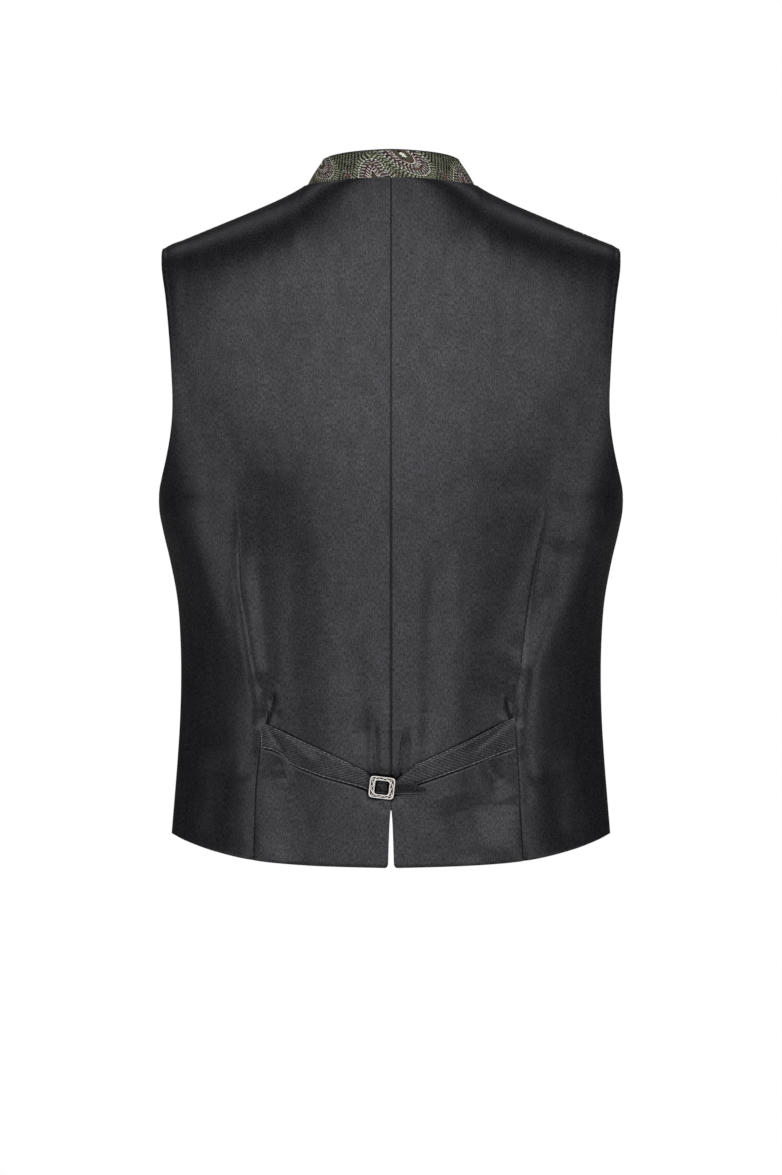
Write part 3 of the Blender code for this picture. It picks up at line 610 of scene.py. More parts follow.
def right_strap_cuts():
    """The right strap runs to the buckle's bar, round it and a little way back."""
    cuts = [(x, 0.8) for x in (-101.5, -95, -86, -74, -62, -50, -38, -28, -18, -8, 0, 4)]
    centre = BUCKLE_X + 0.3
    cuts += [
        (centre + WRAP * math.sin(t), BAR_OFF - WRAP * math.cos(t))
        for t in np.radians([0, 30, 60, 90, 120, 150, 180])
    ]
    cuts.append((centre - 2.2, BAR_OFF + WRAP))
    rows = []
    for x, off in cuts:
        top, bottom = -436.9 - 0.4625 * (x + 102.1), -463.3 - 0.351 * (x + 99.8)
        near = min(max((x + 12.0) / 12.0, 0), 1)
        middle = BUCKLE_Z + (x - BUCKLE_X) * math.tan(math.radians(BUCKLE_TURN))
        top, bottom = top + (middle + 4.95 - top) * near, bottom + (middle - 4.95 - bottom) * near
        rows.append(Cut(x, top, bottom, off))
    return rows


BUCKLE_X, BUCKLE_Z, BUCKLE_TURN = 7.3, -493.1, 7.0
BUCKLE_HALF_X, BUCKLE_HALF_Z = 10.4, 8.95
WINDOW_HALF_X, WINDOW_HALF_Z = 5.65, 5.45
BUCKLE_FOOT = 2.95
BUTTON_TOP, BUTTON_BOTTOM, BUTTONS = -80.0, -487.0, 7

# Finer creases, as lines from their top to their bottom. A deep below 0 is a ridge.
BACK_CREASES = table(
    Fold,
    # gathered above the buckle
    (13.0, -440, 11.5, -504, 1.7, 1.5),
    (24.0, -430, 21.0, -500, 6.5, 1.3),
    (-12.5, -446, -7.5, -506, 2.6, 2.4),
    (3.5, -420, 4.0, -500, 4.0, -0.8),
    (-24.0, -420, -16.0, -500, 6.0, -0.9),
    # the cloth stands up along the darts and slopes down from there to the middle
    (126, -300, 109, -436, 9.0, -3.3),
    (-150, -280, -135, -338, 8.0, -1.2),
    (-138, -326, -108, -420, 8.0, -1.3),
    # pulled by the strap ends
    (108, -447, 100, -413, 4.4, 3.2),
    (103, -436, 94, -410, 5.0, 0.8),
    (-105, -445, -97, -416, 4.0, 2.9),
    (112, -462, 121, -490, 5.0, 0.9),
    (92, -470, 84, -492, 5.0, 0.9),
    (-108, -462, -118, -492, 5.0, 0.9),
    # dimples under the buckle and the right strap's end
    (9, -505, 5, -514, 3.0, 0.8),
    (-84, -478, -92, -492, 4.0, 0.9),
)
STRAP_CREASES = table(
    Fold,
    # the left strap twists as it leaves its dart
    (105, -440, 85, -472, 2.6, 1.3),
    (94, -447, 60, -476, 5.0, -1.6),
    (104, -456, 98, -463, 2.5, -0.4),
    # the right one is folded over at its upper corner
    (-103, -437, -66, -465, 2.2, 1.2),
    (-92, -439, -56, -459, 4.0, -1.2),
    # the cloth in the buckle's window
    (10.5, -489.5, 5.5, -497, 1.0, -0.45),
)
# how far the buckle and the straps press the back in beneath them
BUCKLE_PRESS, STRAP_PRESS = 1.5, 1.3
# Sewn lines draw the cloth in: how deep, and over what half-width.
Groove = namedtuple("Groove", "deep half")
CENTRE_SEAM, CENTRE_FOLD, CENTRE_FOLD_X = Groove(0.6, 0.95), Groove(0.25, 2.0), 4.5
DART_SEAM, DART_HOLLOW = Groove(1.0, 1.2), Groove(0.5, 5.0)
SIDE_SEAM, ARMHOLE_EDGE = Groove(0.8, 1.2), Groove(0.5, 1.0)


# ---------------------------------------------------------------- shaping cloth


def crowded(stops, counts, pull=0.6):
    """Numbers from stop to stop, closer together next to every stop."""
    parts = []
    for low, high, count in zip(stops, stops[1:], counts):
        t = np.linspace(0, 1, count + 1)[:-1]
        parts.append(low + (high - low) * (pull * smooth(0, 1, t) + (1 - pull) * t))
    return np.concatenate(parts + [np.array([stops[-1]])])


def pressed(x, z):
    """How far the straps press the back in; x is above 0 on the left."""
    inward = np.zeros_like(x)
    left = [cut for cut in LEFT_STRAP if cut.x > 12]
    right = [cut for cut in right_strap_cuts() if cut.off < 1]
    for cuts in (sorted(left), sorted(right)):
        at, top, bottom = (column(cuts, name) for name in ("x", "top", "bottom"))
        from_top, from_foot = np.interp(x, at, top) - z, z - np.interp(x, at, bottom)
        ends = np.minimum(x - at[0], at[-1] - x)
        shape = 0.3 * smooth(-0.6, 0.8, from_top) + 0.7 * smooth(0, 9, from_top)
        shape = shape * smooth(-2.2, 0.6, from_foot) * smooth(-1.0, 2.0, ends)
        inward = np.maximum(inward, STRAP_PRESS * shape)
    return inward


def lengths(points):
    """Distance run along each row and up each column of a grid, as a pattern piece lies flat."""
    across = np.linalg.norm(np.diff(points, axis=1), axis=2)
    up = np.linalg.norm(np.diff(points, axis=0), axis=2)
    u = np.concatenate([np.zeros((points.shape[0], 1)), np.cumsum(across, axis=1)], axis=1)
    v = np.concatenate([np.zeros((1, points.shape[1])), np.cumsum(up, axis=0)], axis=0)
    return u, v


def cloth_uv(face, points, r):
    """How far each point lies across the cloth from the middle, and how high along it."""
    x, z = np.abs(points[:, :, 0]), points[:, :, 2]
    steps = np.linspace(0, 1, 25)[:, None, None]
    level = np.minimum(z, -110.0)
    line = level_y(face, level[None], x[None] * steps)
    u = np.hypot(np.diff(line, axis=0), x[None] / 24).sum(0) * np.sign(points[:, :, 0])
    steps = np.diff(points, axis=0)
    rise = np.hypot(steps[:, :, 2], steps[:, :, 1] * (r[1:] > 2)[:, None])
    v = np.concatenate([np.zeros((1, x.shape[1])), np.cumsum(rise, axis=0)])
    foot = np.argmin(np.abs(r - 1))
    return u, v - v[foot] + UNDERARM_Z


def flat_area(points):
    one = np.cross(points[1:, 1:] - points[:-1, :-1], points[1:, :-1] - points[:-1, 1:])
    return 0.5 * np.linalg.norm(one, axis=2).sum() * 1e-6


def made_piece(mesh, name, *materials):
    """A smooth object from a bmesh, in the scene."""
    data = bpy.data.meshes.new(name)
    mesh.to_mesh(data)
    mesh.free()
    data.shade_smooth()
    for material in materials:
        data.materials.append(material)
    piece = bpy.data.objects.new(name, data)
    bpy.context.scene.collection.objects.link(piece)
    return piece


def grid_piece(name, points, uv, materials, wall=0.0, out=(0, 1, 0), soft=0.35, merge=False):
    """A grid laid over `points`, rows by columns in millimetres, with its wall made inwards.

    `out` is the direction that the right side of the cloth faces next to the first row.
    """
    rows, columns = points.shape[:2]
    j = columns // 2
    faced = np.cross(points[1, j + 1] - points[1, j], points[2, j] - points[1, j]) @ np.array(out)
    mesh = bmesh.new()
    bmesh.ops.create_grid(mesh, x_segments=columns - 1, y_segments=rows - 1, size=1.0)
    layer = mesh.loops.layers.uv.new("cloth")
    where = {}
    for vert in mesh.verts:
        j = int(round((vert.co.x + 1) / 2 * (columns - 1)))
        i = int(round((vert.co.y + 1) / 2 * (rows - 1)))
        where[vert] = (i, j)
    for face in mesh.faces:
        for loop in face.loops:
            i, j = where[loop.vert]
            loop[layer].uv = (uv[0][i, j] * MM, uv[1][i, j] * MM)
    for vert, (i, j) in where.items():
        vert.co = points[i, j] * MM
    if faced < 0:
        bmesh.ops.reverse_faces(mesh, faces=mesh.faces)
    if merge:
        bmesh.ops.remove_doubles(mesh, verts=mesh.verts, dist=1e-6)
        bmesh.ops.recalc_face_normals(mesh, faces=mesh.faces)
    piece = made_piece(mesh, name, *materials)
    if wall:
        solid = piece.modifiers.new("wall", "SOLIDIFY")
        solid.thickness = wall * MM
        solid.offset = -1.0
        solid.use_even_offset = False
        solid.material_offset = 1 if len(materials) > 1 else 0
        solid.material_offset_rim = 0
        bevel = piece.modifiers.new("edge", "BEVEL")
        bevel.width, bevel.segments = soft * MM, 2
        bevel.limit_method, bevel.angle_limit = "ANGLE", math.radians(50)
    return piece


def part_at_side(points, face, r):
    """Leave half of the side seam's gap at the edge of this face."""
    below = r <= 1
    deg = SIDE_DEG[face] - HALF_GAP_DEG
    points[below, -1, :2] = np.stack(ring(face, points[below, -1, 2], deg), axis=1)


def back_points(side, q, r):
    points = panel(1, side, q, r)
    z = points[:, :, 2]
    spread = VENT_HALF * np.clip((VENT_TOP - z) / (VENT_TOP + 558.6), 0, 1) ** 0.5
    points[:, :, 0] += spread * np.clip(1 - points[:, :, 0] / 60, 0, 1) ** 2
    part_at_side(points, 1, r)
    # the vent's corners are a little round
    from_vent = np.clip(1 - (points[:, :, 0] - points[:, :1, 0]) / 3.0, 0, 1)
    low = np.clip(1 - (z - z[:1]) / 6.0, 0, 1)
    points[:, :, 2] += 3.0 * (1 - np.sqrt(1 - from_vent**2 * 0.999)) * low
    normals = seam_normals(normals_of(points, 1), points, 1, r)
    outer = folded(points, normals, BACK_FOLDS, side)
    x, z = points[:, :, 0], points[:, :, 2]
    run = lengths(points)[0]
    inward = dented(x, z, BACK_CREASES, side) + pressed(x * side, z)
    closed = smooth(VENT_TOP - 1, VENT_TOP + 12, z)
    inward += CENTRE_SEAM.deep * bell(x, CENTRE_SEAM.half) * closed * (r[:, None] < 2.98)
    inward += CENTRE_FOLD.deep * bell(x - CENTRE_FOLD_X, CENTRE_FOLD.half) * closed
    # the buckle pinches the cloth round it
    beside = np.hypot(
        np.clip(np.abs(x * side - BUCKLE_X) - BUCKLE_HALF_X + 3, 0, None),
        np.clip(np.abs(z - BUCKLE_Z) - BUCKLE_HALF_Z + 3, 0, None),
    )
    inward += BUCKLE_PRESS * bell(beside, 6.0)
    dart = np.argmin(np.abs(q - 1))
    from_dart = np.abs(run - run[:, dart : dart + 1])
    deep = smooth(DART_TOP + 8, DART_TOP - 60, z)
    for groove in (DART_SEAM, DART_HOLLOW):
        inward += deep * groove.deep * bell(from_dart, groove.half)
    side_run = run[:, -1:] - run
    below = (r <= 1)[:, None]
    inward += SIDE_SEAM.deep * bell(side_run, SIDE_SEAM.half) * below
    inward += ARMHOLE_EDGE.deep * bell(side_run, ARMHOLE_EDGE.half) * ~below
    inward += ripple(x * side, z, 0.28)
    inward *= smooth(3.0, 2.93, r)[:, None]  # the back lies over the front along the shoulder
    return outer - normals * inward[:, :, None]


def ripple(x, z, size):
    """The small unevenness of worn cloth; never outwards."""
    wave = (
        np.sin(x / 11.0 + 1.3 * np.sin(z / 47.0) + 0.4)
        + np.sin(x / 23.0 - z / 61.0 + 2.0 * np.sin(z / 90.0))
        + 0.6 * np.sin(x / 6.1 + z / 83.0 + 1.7)
    )
    return size * (0.5 + wave / 5.2)


def front_points(side, q, r):
    points = panel(-1, side, q, r)
    x, z = points[:, :, 0], points[:, :, 2]
    normals = normals_of(points, -1)
    if side < 0:
        share = np.clip((54 - x) / 28, 0, 1)
        near_neck = np.clip((z + 215) / 60, 0, 1)
        under = (FRONT_WALL + SEAM + 0.3 + 2.0 * near_neck) * share**2 * (3 - 2 * share)
        points = points - normals * under[:, :, None]
    part_at_side(points, -1, r)
    normals = seam_normals(normals, points, -1, r)
    outer = folded(points, normals, FRONT_FOLDS, side)
    run = lengths(points)[0]
    side_run = run[:, -1:] - run
    below = (r <= 1)[:, None]
    inward = SIDE_SEAM.deep * bell(side_run, SIDE_SEAM.half) * below
    inward += ripple(x * side + 300, z, 0.25) * smooth(20, 40, x)
    return outer - normals * inward[:, :, None]


# ---------------------------------------------------------------- finishes


def math_method(operation, swapped=False):
    """A method that adds the Math node of one operation."""

    def method(self, *others):
        values = (*others, self) if swapped else (self, *others)
        return self.node("Math", {"operation": operation}, dict(enumerate(values)))

    return method


class Strand:
    """One socket in a material, so that sums on it read as plain expressions."""

    def __init__(self, tree, socket=None):
        self.tree, self.socket = tree, socket

    def node(self, kind, settings=None, sockets=None, output=0):
        made = self.tree.nodes.new("ShaderNode" + kind)
        for key, value in (settings or {}).items():
            if key == "stops":
                ramp = made.color_ramp
                while len(ramp.elements) < len(value):
                    ramp.elements.new(1.0)
                for element, (place, colour) in zip(ramp.elements, value):
                    element.position, element.color = place, colour
            else:
                setattr(made, key, value)
        for key, value in (sockets or {}).items():
            if isinstance(value, Strand):
                self.tree.links.new(value.socket, made.inputs[key])
            else:
                made.inputs[key].default_value = value
        return Strand(self.tree, made.outputs[output])

    def parts(self):
        """The three numbers of a vector."""
        split = self.node("SeparateXYZ", sockets={0: self})
        return [Strand(self.tree, split.socket.node.outputs[k]) for k in range(3)]

    __add__ = __radd__ = math_method("ADD")
    __mul__ = __rmul__ = math_method("MULTIPLY")
    __sub__, __rsub__ = math_method("SUBTRACT"), math_method("SUBTRACT", swapped=True)
    __truediv__, power = math_method("DIVIDE"), math_method("POWER")
    __gt__, __lt__ = math_method("GREATER_THAN"), math_method("LESS_THAN")
    sin, cos, angle_from = math_method("SINE"), math_method("COSINE"), math_method("ARCTAN2")
    arcsine, most = math_method("ARCSINE"), math_method("MAXIMUM")
    abs, floor, fract = math_method("ABSOLUTE"), math_method("FLOOR"), math_method("FRACT")

    def within(self, middle, half, blur=0.12):
        """1 where this lies within `half` of `middle`, with a soft edge."""
        return self.node(
            "MapRange",
            {"interpolation_type": "SMOOTHSTEP"},
            {0: (self - middle).abs(), 1: half + blur, 2: half - blur, 3: 0.0, 4: 1.0},
        )

    def range(self, low, high, to_low=0.0, to_high=1.0, style="SMOOTHSTEP"):
        sockets = {0: self, 1: low, 2: high, 3: to_low, 4: to_high}
        return self.node("MapRange", {"interpolation_type": style}, sockets)

    def linear(self, *limits):
        return self.range(*limits, style="LINEAR")

    def blend(self, below, above):
        """Colour `above` over colour `below`, where this is 1."""
        return self.node("Mix", {"data_type": "RGBA"}, {0: self, 6: below, 7: above}, output=2)


def new_finish(name, **values):
    """A material with its shader, and a Strand to build its nodes from."""
    material = bpy.data.materials.new(name)
    material.use_nodes = True
    tree = material.node_tree
    shader = tree.nodes["Principled BSDF"]
    for key, value in values.items():
        shader.inputs[key.replace("_", " ")].default_value = value
    return material, shader, Strand(tree)


def colour4(value, scale=1.0):
    return (value[0] * scale, value[1] * scale, value[2] * scale, 1.0)


def cloth_mm(strand):
    """Across and along the cloth, in millimetres."""
    x, y, _ = strand.node("UVMap", {"uv_map": "cloth"}).parts()
    return x * 1000.0, y * 1000.0


def grain(strand, at, scale, detail=2.0, rough=0.5):
    return strand.node(
        "TexNoise", sockets={"Vector": at, "Scale": scale, "Detail": detail, "Roughness": rough}
    )


def speckle(strand, x, y, detail=2.0, rough=0.5):
    """Noise over the cloth, with x and y as steps of the noise."""
    return grain(strand, strand.node("CombineXYZ", sockets={0: x, 1: y}), 1.0, detail, rough)


def toned(strand, colour, value):
    return strand.node("HueSaturation", sockets={"Value": value, "Color": colour})


def plug(shader, **strands):
    for name, strand in strands.items():
        strand.tree.links.new(strand.socket, shader.inputs[name.replace("_", " ")])


def bump(strand, height, deep, strength=1.0):
    return strand.node("Bump", sockets={"Strength": strength, "Distance": deep, "Height": height})


def satin(name, colour, rough, shine, ribs=False):
    """Warp-faced satin: fine upright floats that glint one by one, and a soft sheen over all."""
    material, shader, strand = new_finish(name, Specular_IOR_Level=0.32, Coat_Roughness=rough)
    x, y = cloth_mm(strand)
    floats = speckle(strand, x * 0.95, y * 0.30, rough=0.6)
    fine = speckle(strand, x * 1.7 + y * 0.4, y * 0.8, 1.0)
    slubs = speckle(strand, x * 0.11, y * 0.045)
    glint = floats * 0.55 + fine * 0.45
    shade = glint.linear(0.36, 0.64, 0.0, 2.0) * slubs.linear(0.3, 0.7, 0.78, 1.22)
    height = glint * 1.2
    if not ribs:  # the centre seam is in its own shadow
        shade = shade * x.abs().range(0.3, 1.0, 0.12, 1.0)
    # so is the cloth next to the buckle
    from_left, _, from_neck = (one * 1000.0 for one in strand.node("TexCoord", output=3).parts())
    beside_x = (from_left - BUCKLE_X).abs() - BUCKLE_HALF_X
    beside_z = (from_neck - BUCKLE_Z).abs() - BUCKLE_HALF_Z
    shade = shade * beside_x.most(beside_z).range(0.2, 3.4, 0.12, 1.0)
    if ribs:
        # the tongue beyond the buckle hangs in shadow
        tongue = from_left.within(-17.0, 13.0, 1.5) * from_neck.within(-496.0, 8.0, 1.0)
        shade = shade * tongue.range(0.0, 1.0, 1.0, 0.45)
        rib = ((x * 0.55 + y * 0.83) * (2 * math.pi / 1.7)).sin()
        shade = shade * rib.linear(-1, 1, 0.3, 1.4)
        height = height + rib * 1.2
        # painted highlight along the folded edges, and painted shade in the grooves and hollows
        # inside them
        bent = strand.node("NewGeometry", output=7)
        shade = shade * bent.range(0.505, 0.55, 1.0, 4.0) * bent.range(0.42, 0.49, 0.1, 1.0)
    plug(
        shader,
        Base_Color=toned(strand, colour4(colour, 1.9 if ribs else 1.0), shade),
        Roughness=glint.linear(0.3, 0.7, rough + 0.04, rough - 0.04),
        Coat_Weight=shade * shine,
        Normal=bump(strand, height, 0.00005, 0.7),
    )
    return material


def lining(name, colour):
    """The plain inside of the cloth."""
    material, shader, strand = new_finish(name)
    x, y = cloth_mm(strand)
    threads = (x * (2 * math.pi / 0.5)).sin() * (y * (2 * math.pi / 0.5)).sin()
    soft = speckle(strand, x * 0.4, y * 0.4)
    plug(
        shader,
        Base_Color=toned(strand, colour4(colour), soft.linear(0.3, 0.7, 0.85, 1.15)),
        Roughness=soft.linear(0.3, 0.7, 0.6, 0.7),
        Normal=bump(strand, threads, 0.00003, 0.4),
    )
    return material


def brocade(name, hues, scale):
    """Figured cloth: bent teardrops in half-drop rows, ringed by bands of small hooked strokes."""
    material, shader, strand = new_finish(name, Specular_IOR_Level=0.15)
    x, y = cloth_mm(strand)
    x, y = x / scale, y / scale
    waver = speckle(strand, x * 0.9, y * 0.9, 1.0).linear(0.2, 0.8, -0.5, 0.5)
    x, y = x + waver, y + waver * 0.7
    wide, tall = 42.0, 56.0
    column = (x / wide).floor()
    odd = (column * 0.5).fract() * 2.0
    across = (x - (column + 0.5) * wide) * (1.0 - odd * 2.0)
    dropped = y + odd * (tall / 2)
    along = dropped - ((dropped / tall).floor() + 0.5) * tall + 6.0

    # a drop with a round foot of radius `foot` that tapers to a point `long` above, and bends
    foot, long = 6.5, 15.0
    sine = foot / long
    cosine = math.sqrt(1 - sine**2)
    bent = across - along.most(0.0).power(2.0) * 0.019
    a = bent.abs()
    flank = a * cosine + along * sine
    up_flank = along * cosine - a * sine
    radius = (a * a + along * along).power(0.5)
    beside = up_flank > 0.0
    above = up_flank > cosine * long
    over_tip = (a * a + (along - long) * (along - long)).power(0.5)
    off = radius * (1.0 - beside) + flank * (beside - above) - foot + (over_tip + foot) * above
    round_foot = (0.0 - up_flank).most(0.0).angle_from(flank)
    side = bent > 0.0

    def strokes(away, half, pitch, hook, share=0.2):
        """Hooked strokes standing off the drop's outline, `away` from it."""
        run = round_foot * (foot + away) - up_flank.most(0.0)
        phase = (run / pitch + off * hook + side * 0.5).fract()
        return phase.within(0.5, share, 0.09) * off.within(away, half, 0.25)

    outline = off.within(0.5, 0.3, 0.15)
    inner = off.within(-1.3, 0.22, 0.15)
    comb = strokes(-2.9, 1.0, 1.5, 0.10, 0.24)
    first = strokes(2.9, 1.5, 2.3, 0.16)
    line = off.within(5.1, 0.2, 0.12)
    second = strokes(7.3, 1.6, 2.7, -0.14)
    beads = strokes(10.1, 0.55, 2.2, 0.0, 0.26)
    third = strokes(12.9, 1.6, 2.6, 0.15, 0.22)
    heart = radius < (round_foot * 6.0).cos() * 0.5 + 1.9
    # small wheels where the drops leave room
    a2, b2 = across.abs() - wide / 2, along - 12.0
    radius2 = (a2 * a2 + b2 * b2).power(0.5)
    angle2 = b2.angle_from(a2)
    room = off > 14.6
    flower = (radius2 < (angle2 * 6.0).cos() * 0.6 + 1.8) * room
    spokes = (angle2 * (16 / (2 * math.pi)) + radius2 * 0.15).fract().within(0.5, 0.2, 0.09)
    spokes = spokes * radius2.within(4.4, 1.5, 0.3) * room
    seeds = (x * (2 * math.pi / 3.0)).sin() * (y * (2 * math.pi / 3.0)).sin()
    seeds = seeds.range(0.25, 0.5) * room * (radius2 > 6.4)

    ground, pale, mauve, rust, moss = (colour4(hue) for hue in hues)
    threads = speckle(strand, x * 0.5, y * 0.5, 1.0)
    light = threads.range(0.42, 0.60).blend(pale, colour4(hues[2], 1.7))
    second_light = threads.range(0.60, 0.42).blend(mauve, colour4(hues[1], 0.7))
    tint = speckle(strand, x * 0.12, y * 0.12)
    colour = tint.range(0.4, 0.6).blend(ground, colour4(hues[4], 0.2))
    for share, above in (
        (seeds, colour4(hues[4], 2.2)), (third, colour4(hues[4], 2.6)), (spokes, second_light),
        (second, second_light), (first, light), (comb, moss), (line * 0.8, rust), (inner, rust),
        (outline, light), (beads, pale), (heart, pale), (flower, rust),
    ):
        colour = share.blend(colour, above)
    weft = (y * (scale * 2 * math.pi / 0.7)).sin() * (x * (scale * 2 * math.pi / 0.8)).sin()
    fine = speckle(strand, x * 2.2, y * 1.3, 1.0)
    value = weft.linear(-1, 1, 0.85, 1.15) * fine.linear(0.3, 0.7, 0.35, 1.65)
    raised = outline
    for one in (first, beads, second, comb, heart, spokes):
        raised = raised.most(one)
    plug(
        shader,
        Base_Color=toned(strand, colour, value),
        Roughness=raised.linear(0, 1, 0.62, 0.45),
        Normal=bump(strand, raised + weft * 0.3 + fine * 0.6, 0.00012, 0.6),
    )
    return material


def antique_metal(name, colour, dark, rough):
    """Silvery metal, dark and dull where hands don't polish it."""
    material, shader, strand = new_finish(name, Metallic=1.0)
    place = strand.node("TexCoord", output=3)
    spots = grain(strand, place, 900.0, 3.0)
    wear = strand.node("NewGeometry", output=7)
    worn = (wear + spots * 0.10).range(0.50, 0.60)
    plug(
        shader,
        Base_Color=worn.blend(colour4(dark), colour4(colour)),
        Roughness=worn.linear(0, 1, rough + 0.25, rough),
        Normal=bump(strand, spots, 0.00003, 0.25),
    )
    return material


def chased_metal(name, colour, dark, rough):
    """The buckle's metal: bright rims, and a dark channel with a bright wave and dots along it."""
    material, shader, strand = new_finish(name, Metallic=1.0)
    share, turns = cloth_mm(strand)
    spots = grain(strand, strand.node("TexCoord", output=3), 1400.0, 3.0)
    wave = (turns * (2 * math.pi)).sin()
    curl = (turns * (4 * math.pi) + 0.8).sin()
    channel = (share + spots * 0.05).within(0.53, 0.235, 0.03)
    vine = (share - wave * 0.15).within(0.53, 0.065, 0.03)
    vine = vine.most((share + wave * 0.16).within(0.53, 0.05, 0.03) * (curl > 0.7))
    deep = channel * (1.0 - vine)
    deep = deep * spots.linear(0.25, 0.45, 0.7, 1.0)
    plug(
        shader,
        Base_Color=deep.blend(colour4(colour), colour4(dark)),
        Roughness=deep.linear(0, 1, rough, rough + 0.3),
        Normal=bump(strand, spots - deep * 0.8, 0.00006, 0.5),
    )
    return material


def thread_finish(name, colour):
    """Twisted sewing thread."""
    material, shader, strand = new_finish(name)
    twist = grain(strand, strand.node("TexCoord", output=3), 2500.0)
    plug(
        shader,
        Base_Color=toned(strand, colour4(colour), twist.linear(0.3, 0.7, 0.7, 1.3)),
        Roughness=twist.linear(0.3, 0.7, 0.5, 0.65),
    )
    return material


FINISHES = {}


def finish(name):
    """The finish of that name, made on first use."""
    cloth = bpy.context.scene.waistcoat_cloth
    metal = (cloth.metal, cloth.metal_dark, cloth.metal_rough)
    hues = (cloth.ground, cloth.pale, cloth.mauve, cloth.rust, cloth.moss)
    makers = {
        "back_satin": (satin, cloth.satin, cloth.satin_rough, cloth.satin_shine),
        "strap_satin": (satin, cloth.satin, cloth.satin_rough, cloth.satin_shine * 0.85, True),
        "lining": (lining, cloth.lining),
        "brocade": (brocade, hues, cloth.figure),
        "antique_metal": (antique_metal, *metal),
        "chased_metal": (chased_metal, *metal),
        "thread": (thread_finish, cloth.thread),
    }
    if name not in FINISHES:
        make, *values = makers[name]
        FINISHES[name] = make(name, *values)
    return FINISHES[name]


def sew_on(piece, slot, *nodes):
    """Hang a piece on the root and hide the plain solids that it stands for; `slot` is not used.
    """
    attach(piece, "root")
    if nodes:
        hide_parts(*nodes)


def declare(points):
    """Work out the flat size and the area of a sheet of cloth; nothing is kept of them."""
    u, v = lengths(points)
    area = flat_area(points)
    wide, tall = u.max() * MM, v.max() * MM
    area = min(area, wide * tall)


# ---------------------------------------------------------------- what a user may change


def colour_of(name, description, default):
    return FloatVectorProperty(
        name=name, description=description, subtype="COLOR", size=3, min=0, max=1, default=default
    )


class WaistcoatCloth(bpy.types.PropertyGroup):
    """Colours and finishes of the cloth and the metal."""

    satin: colour_of(
        "Satin", "Colour of the back, the straps and the collar's edge", (0.0085, 0.0085, 0.0098)
    )
    satin_rough: FloatProperty(
        name="Satin roughness", description="How dull the satin is", subtype="FACTOR",
        min=0.1, max=1, default=0.27,
    )
    satin_shine: FloatProperty(
        name="Satin sheen", description="How much light the satin's floats throw back",
        subtype="FACTOR",
        min=0, max=1, default=0.6,
    )
    lining: colour_of("Lining", "Colour of the inside of the cloth", (0.016, 0.016, 0.018))
    ground: colour_of("Ground", "Darkest colour of the figured cloth", (0.005, 0.0055, 0.0035))
    pale: colour_of("Pale thread", "Lightest colour of the figured cloth", (0.80, 0.79, 0.62))
    mauve: colour_of("Mauve thread", "Second colour of the figures", (0.27, 0.18, 0.20))
    rust: colour_of("Rust thread", "Colour of the small accents", (0.24, 0.10, 0.055))
    moss: colour_of(
        "Moss thread", "Colour of the seeds and rays on the ground", (0.125, 0.13, 0.085)
    )
    figure: FloatProperty(
        name="Figure scale", description="Size of the figures, 1 as woven",
        min=0.3, max=3, default=1.0
    )
    metal: colour_of(
        "Metal", "Colour of the buckle and buttons where they are polished", (1.0, 0.955, 0.86)
    )
    metal_dark: colour_of(
        "Metal in recesses", "Colour of the metal where it is dark", (0.010, 0.009, 0.008)
    )
    metal_rough: FloatProperty(
        name="Metal roughness", description="How dull the polished metal is", subtype="FACTOR",
        min=0.05, max=1, default=0.20,
    )
    thread: colour_of("Thread", "Colour of the stitches", (0.055, 0.053, 0.050))


class WaistcoatSewing(bpy.types.PropertyGroup):
    """Sizes of what is sewn."""

    soft_edge: FloatProperty(
        name="Edge roll", description="How round the cloth turns at its edges",
        unit="LENGTH", min=0.0, max=0.0008, default=0.00035, precision=5,
    )
    ridges: IntProperty(
        name="Buckle waves", description="Waves of the relief round the buckle",
        min=4, max=60, default=10
    )
    button_steps: IntProperty(
        name="Button steps", description="Faces round a button", min=12, max=96, default=48
    )
    stitch_pitch: FloatProperty(
        name="Stitch pitch",
        description="Distance from stitch to stitch along the straps and edges",
        unit="LENGTH", min=0.001, max=0.02, default=0.0026, precision=4,
    )


class WaistcoatStudio(bpy.types.PropertyGroup):
    """The camera and the lights."""

    camera_back: FloatProperty(
        name="Camera distance", description="How far behind the neck the camera stands",
        unit="LENGTH", min=1, max=10, default=4.0,
    )
    camera_height: FloatProperty(
        name="Camera height", description="Height of the camera, measured from the neck",
        unit="LENGTH", min=-2, max=2, default=-0.3316,
    )
    view_height: FloatProperty(
        name="View height", description="Height of the view at the neck's distance",
        unit="LENGTH", min=0.2, max=4, default=0.9729,
    )
    wall_bright: FloatProperty(
        name="Light wall", description="Brightness of the wall of soft light behind the camera",
        min=0, max=20, default=1.33,
    )
    gap_share: FloatProperty(
        name="Gap depth", description="How much dimmer the wall is there", subtype="FACTOR",
        min=0, max=1, default=0.30,
    )
    near_power: FloatProperty(
        name="Near light",
        description="Power of each square metre of the tall softbox behind the back",
        unit="POWER", min=0, max=100, default=4.4,
    )
    near_back: FloatProperty(
        name="Near light distance", description="How far behind the neck the tall softbox stands",
        unit="LENGTH", min=0.5, max=4, default=1.3,
    )
    front_power: FloatProperty(
        name="Front light",
        description="Power of the softbox on the far side, which lights the fronts",
        unit="POWER", min=0, max=5000, default=110.0,
    )
    front_sky: FloatProperty(
        name="Front screens", description="Brightness of the screens that the buttons reflect",
        min=0, max=20, default=1.0,
    )
    around: FloatProperty(
        name="Room light", description="Brightness of the dim room that the cloth reflects",
        min=0, max=2, default=0.012,
    )


# ---------------------------------------------------------------- pieces

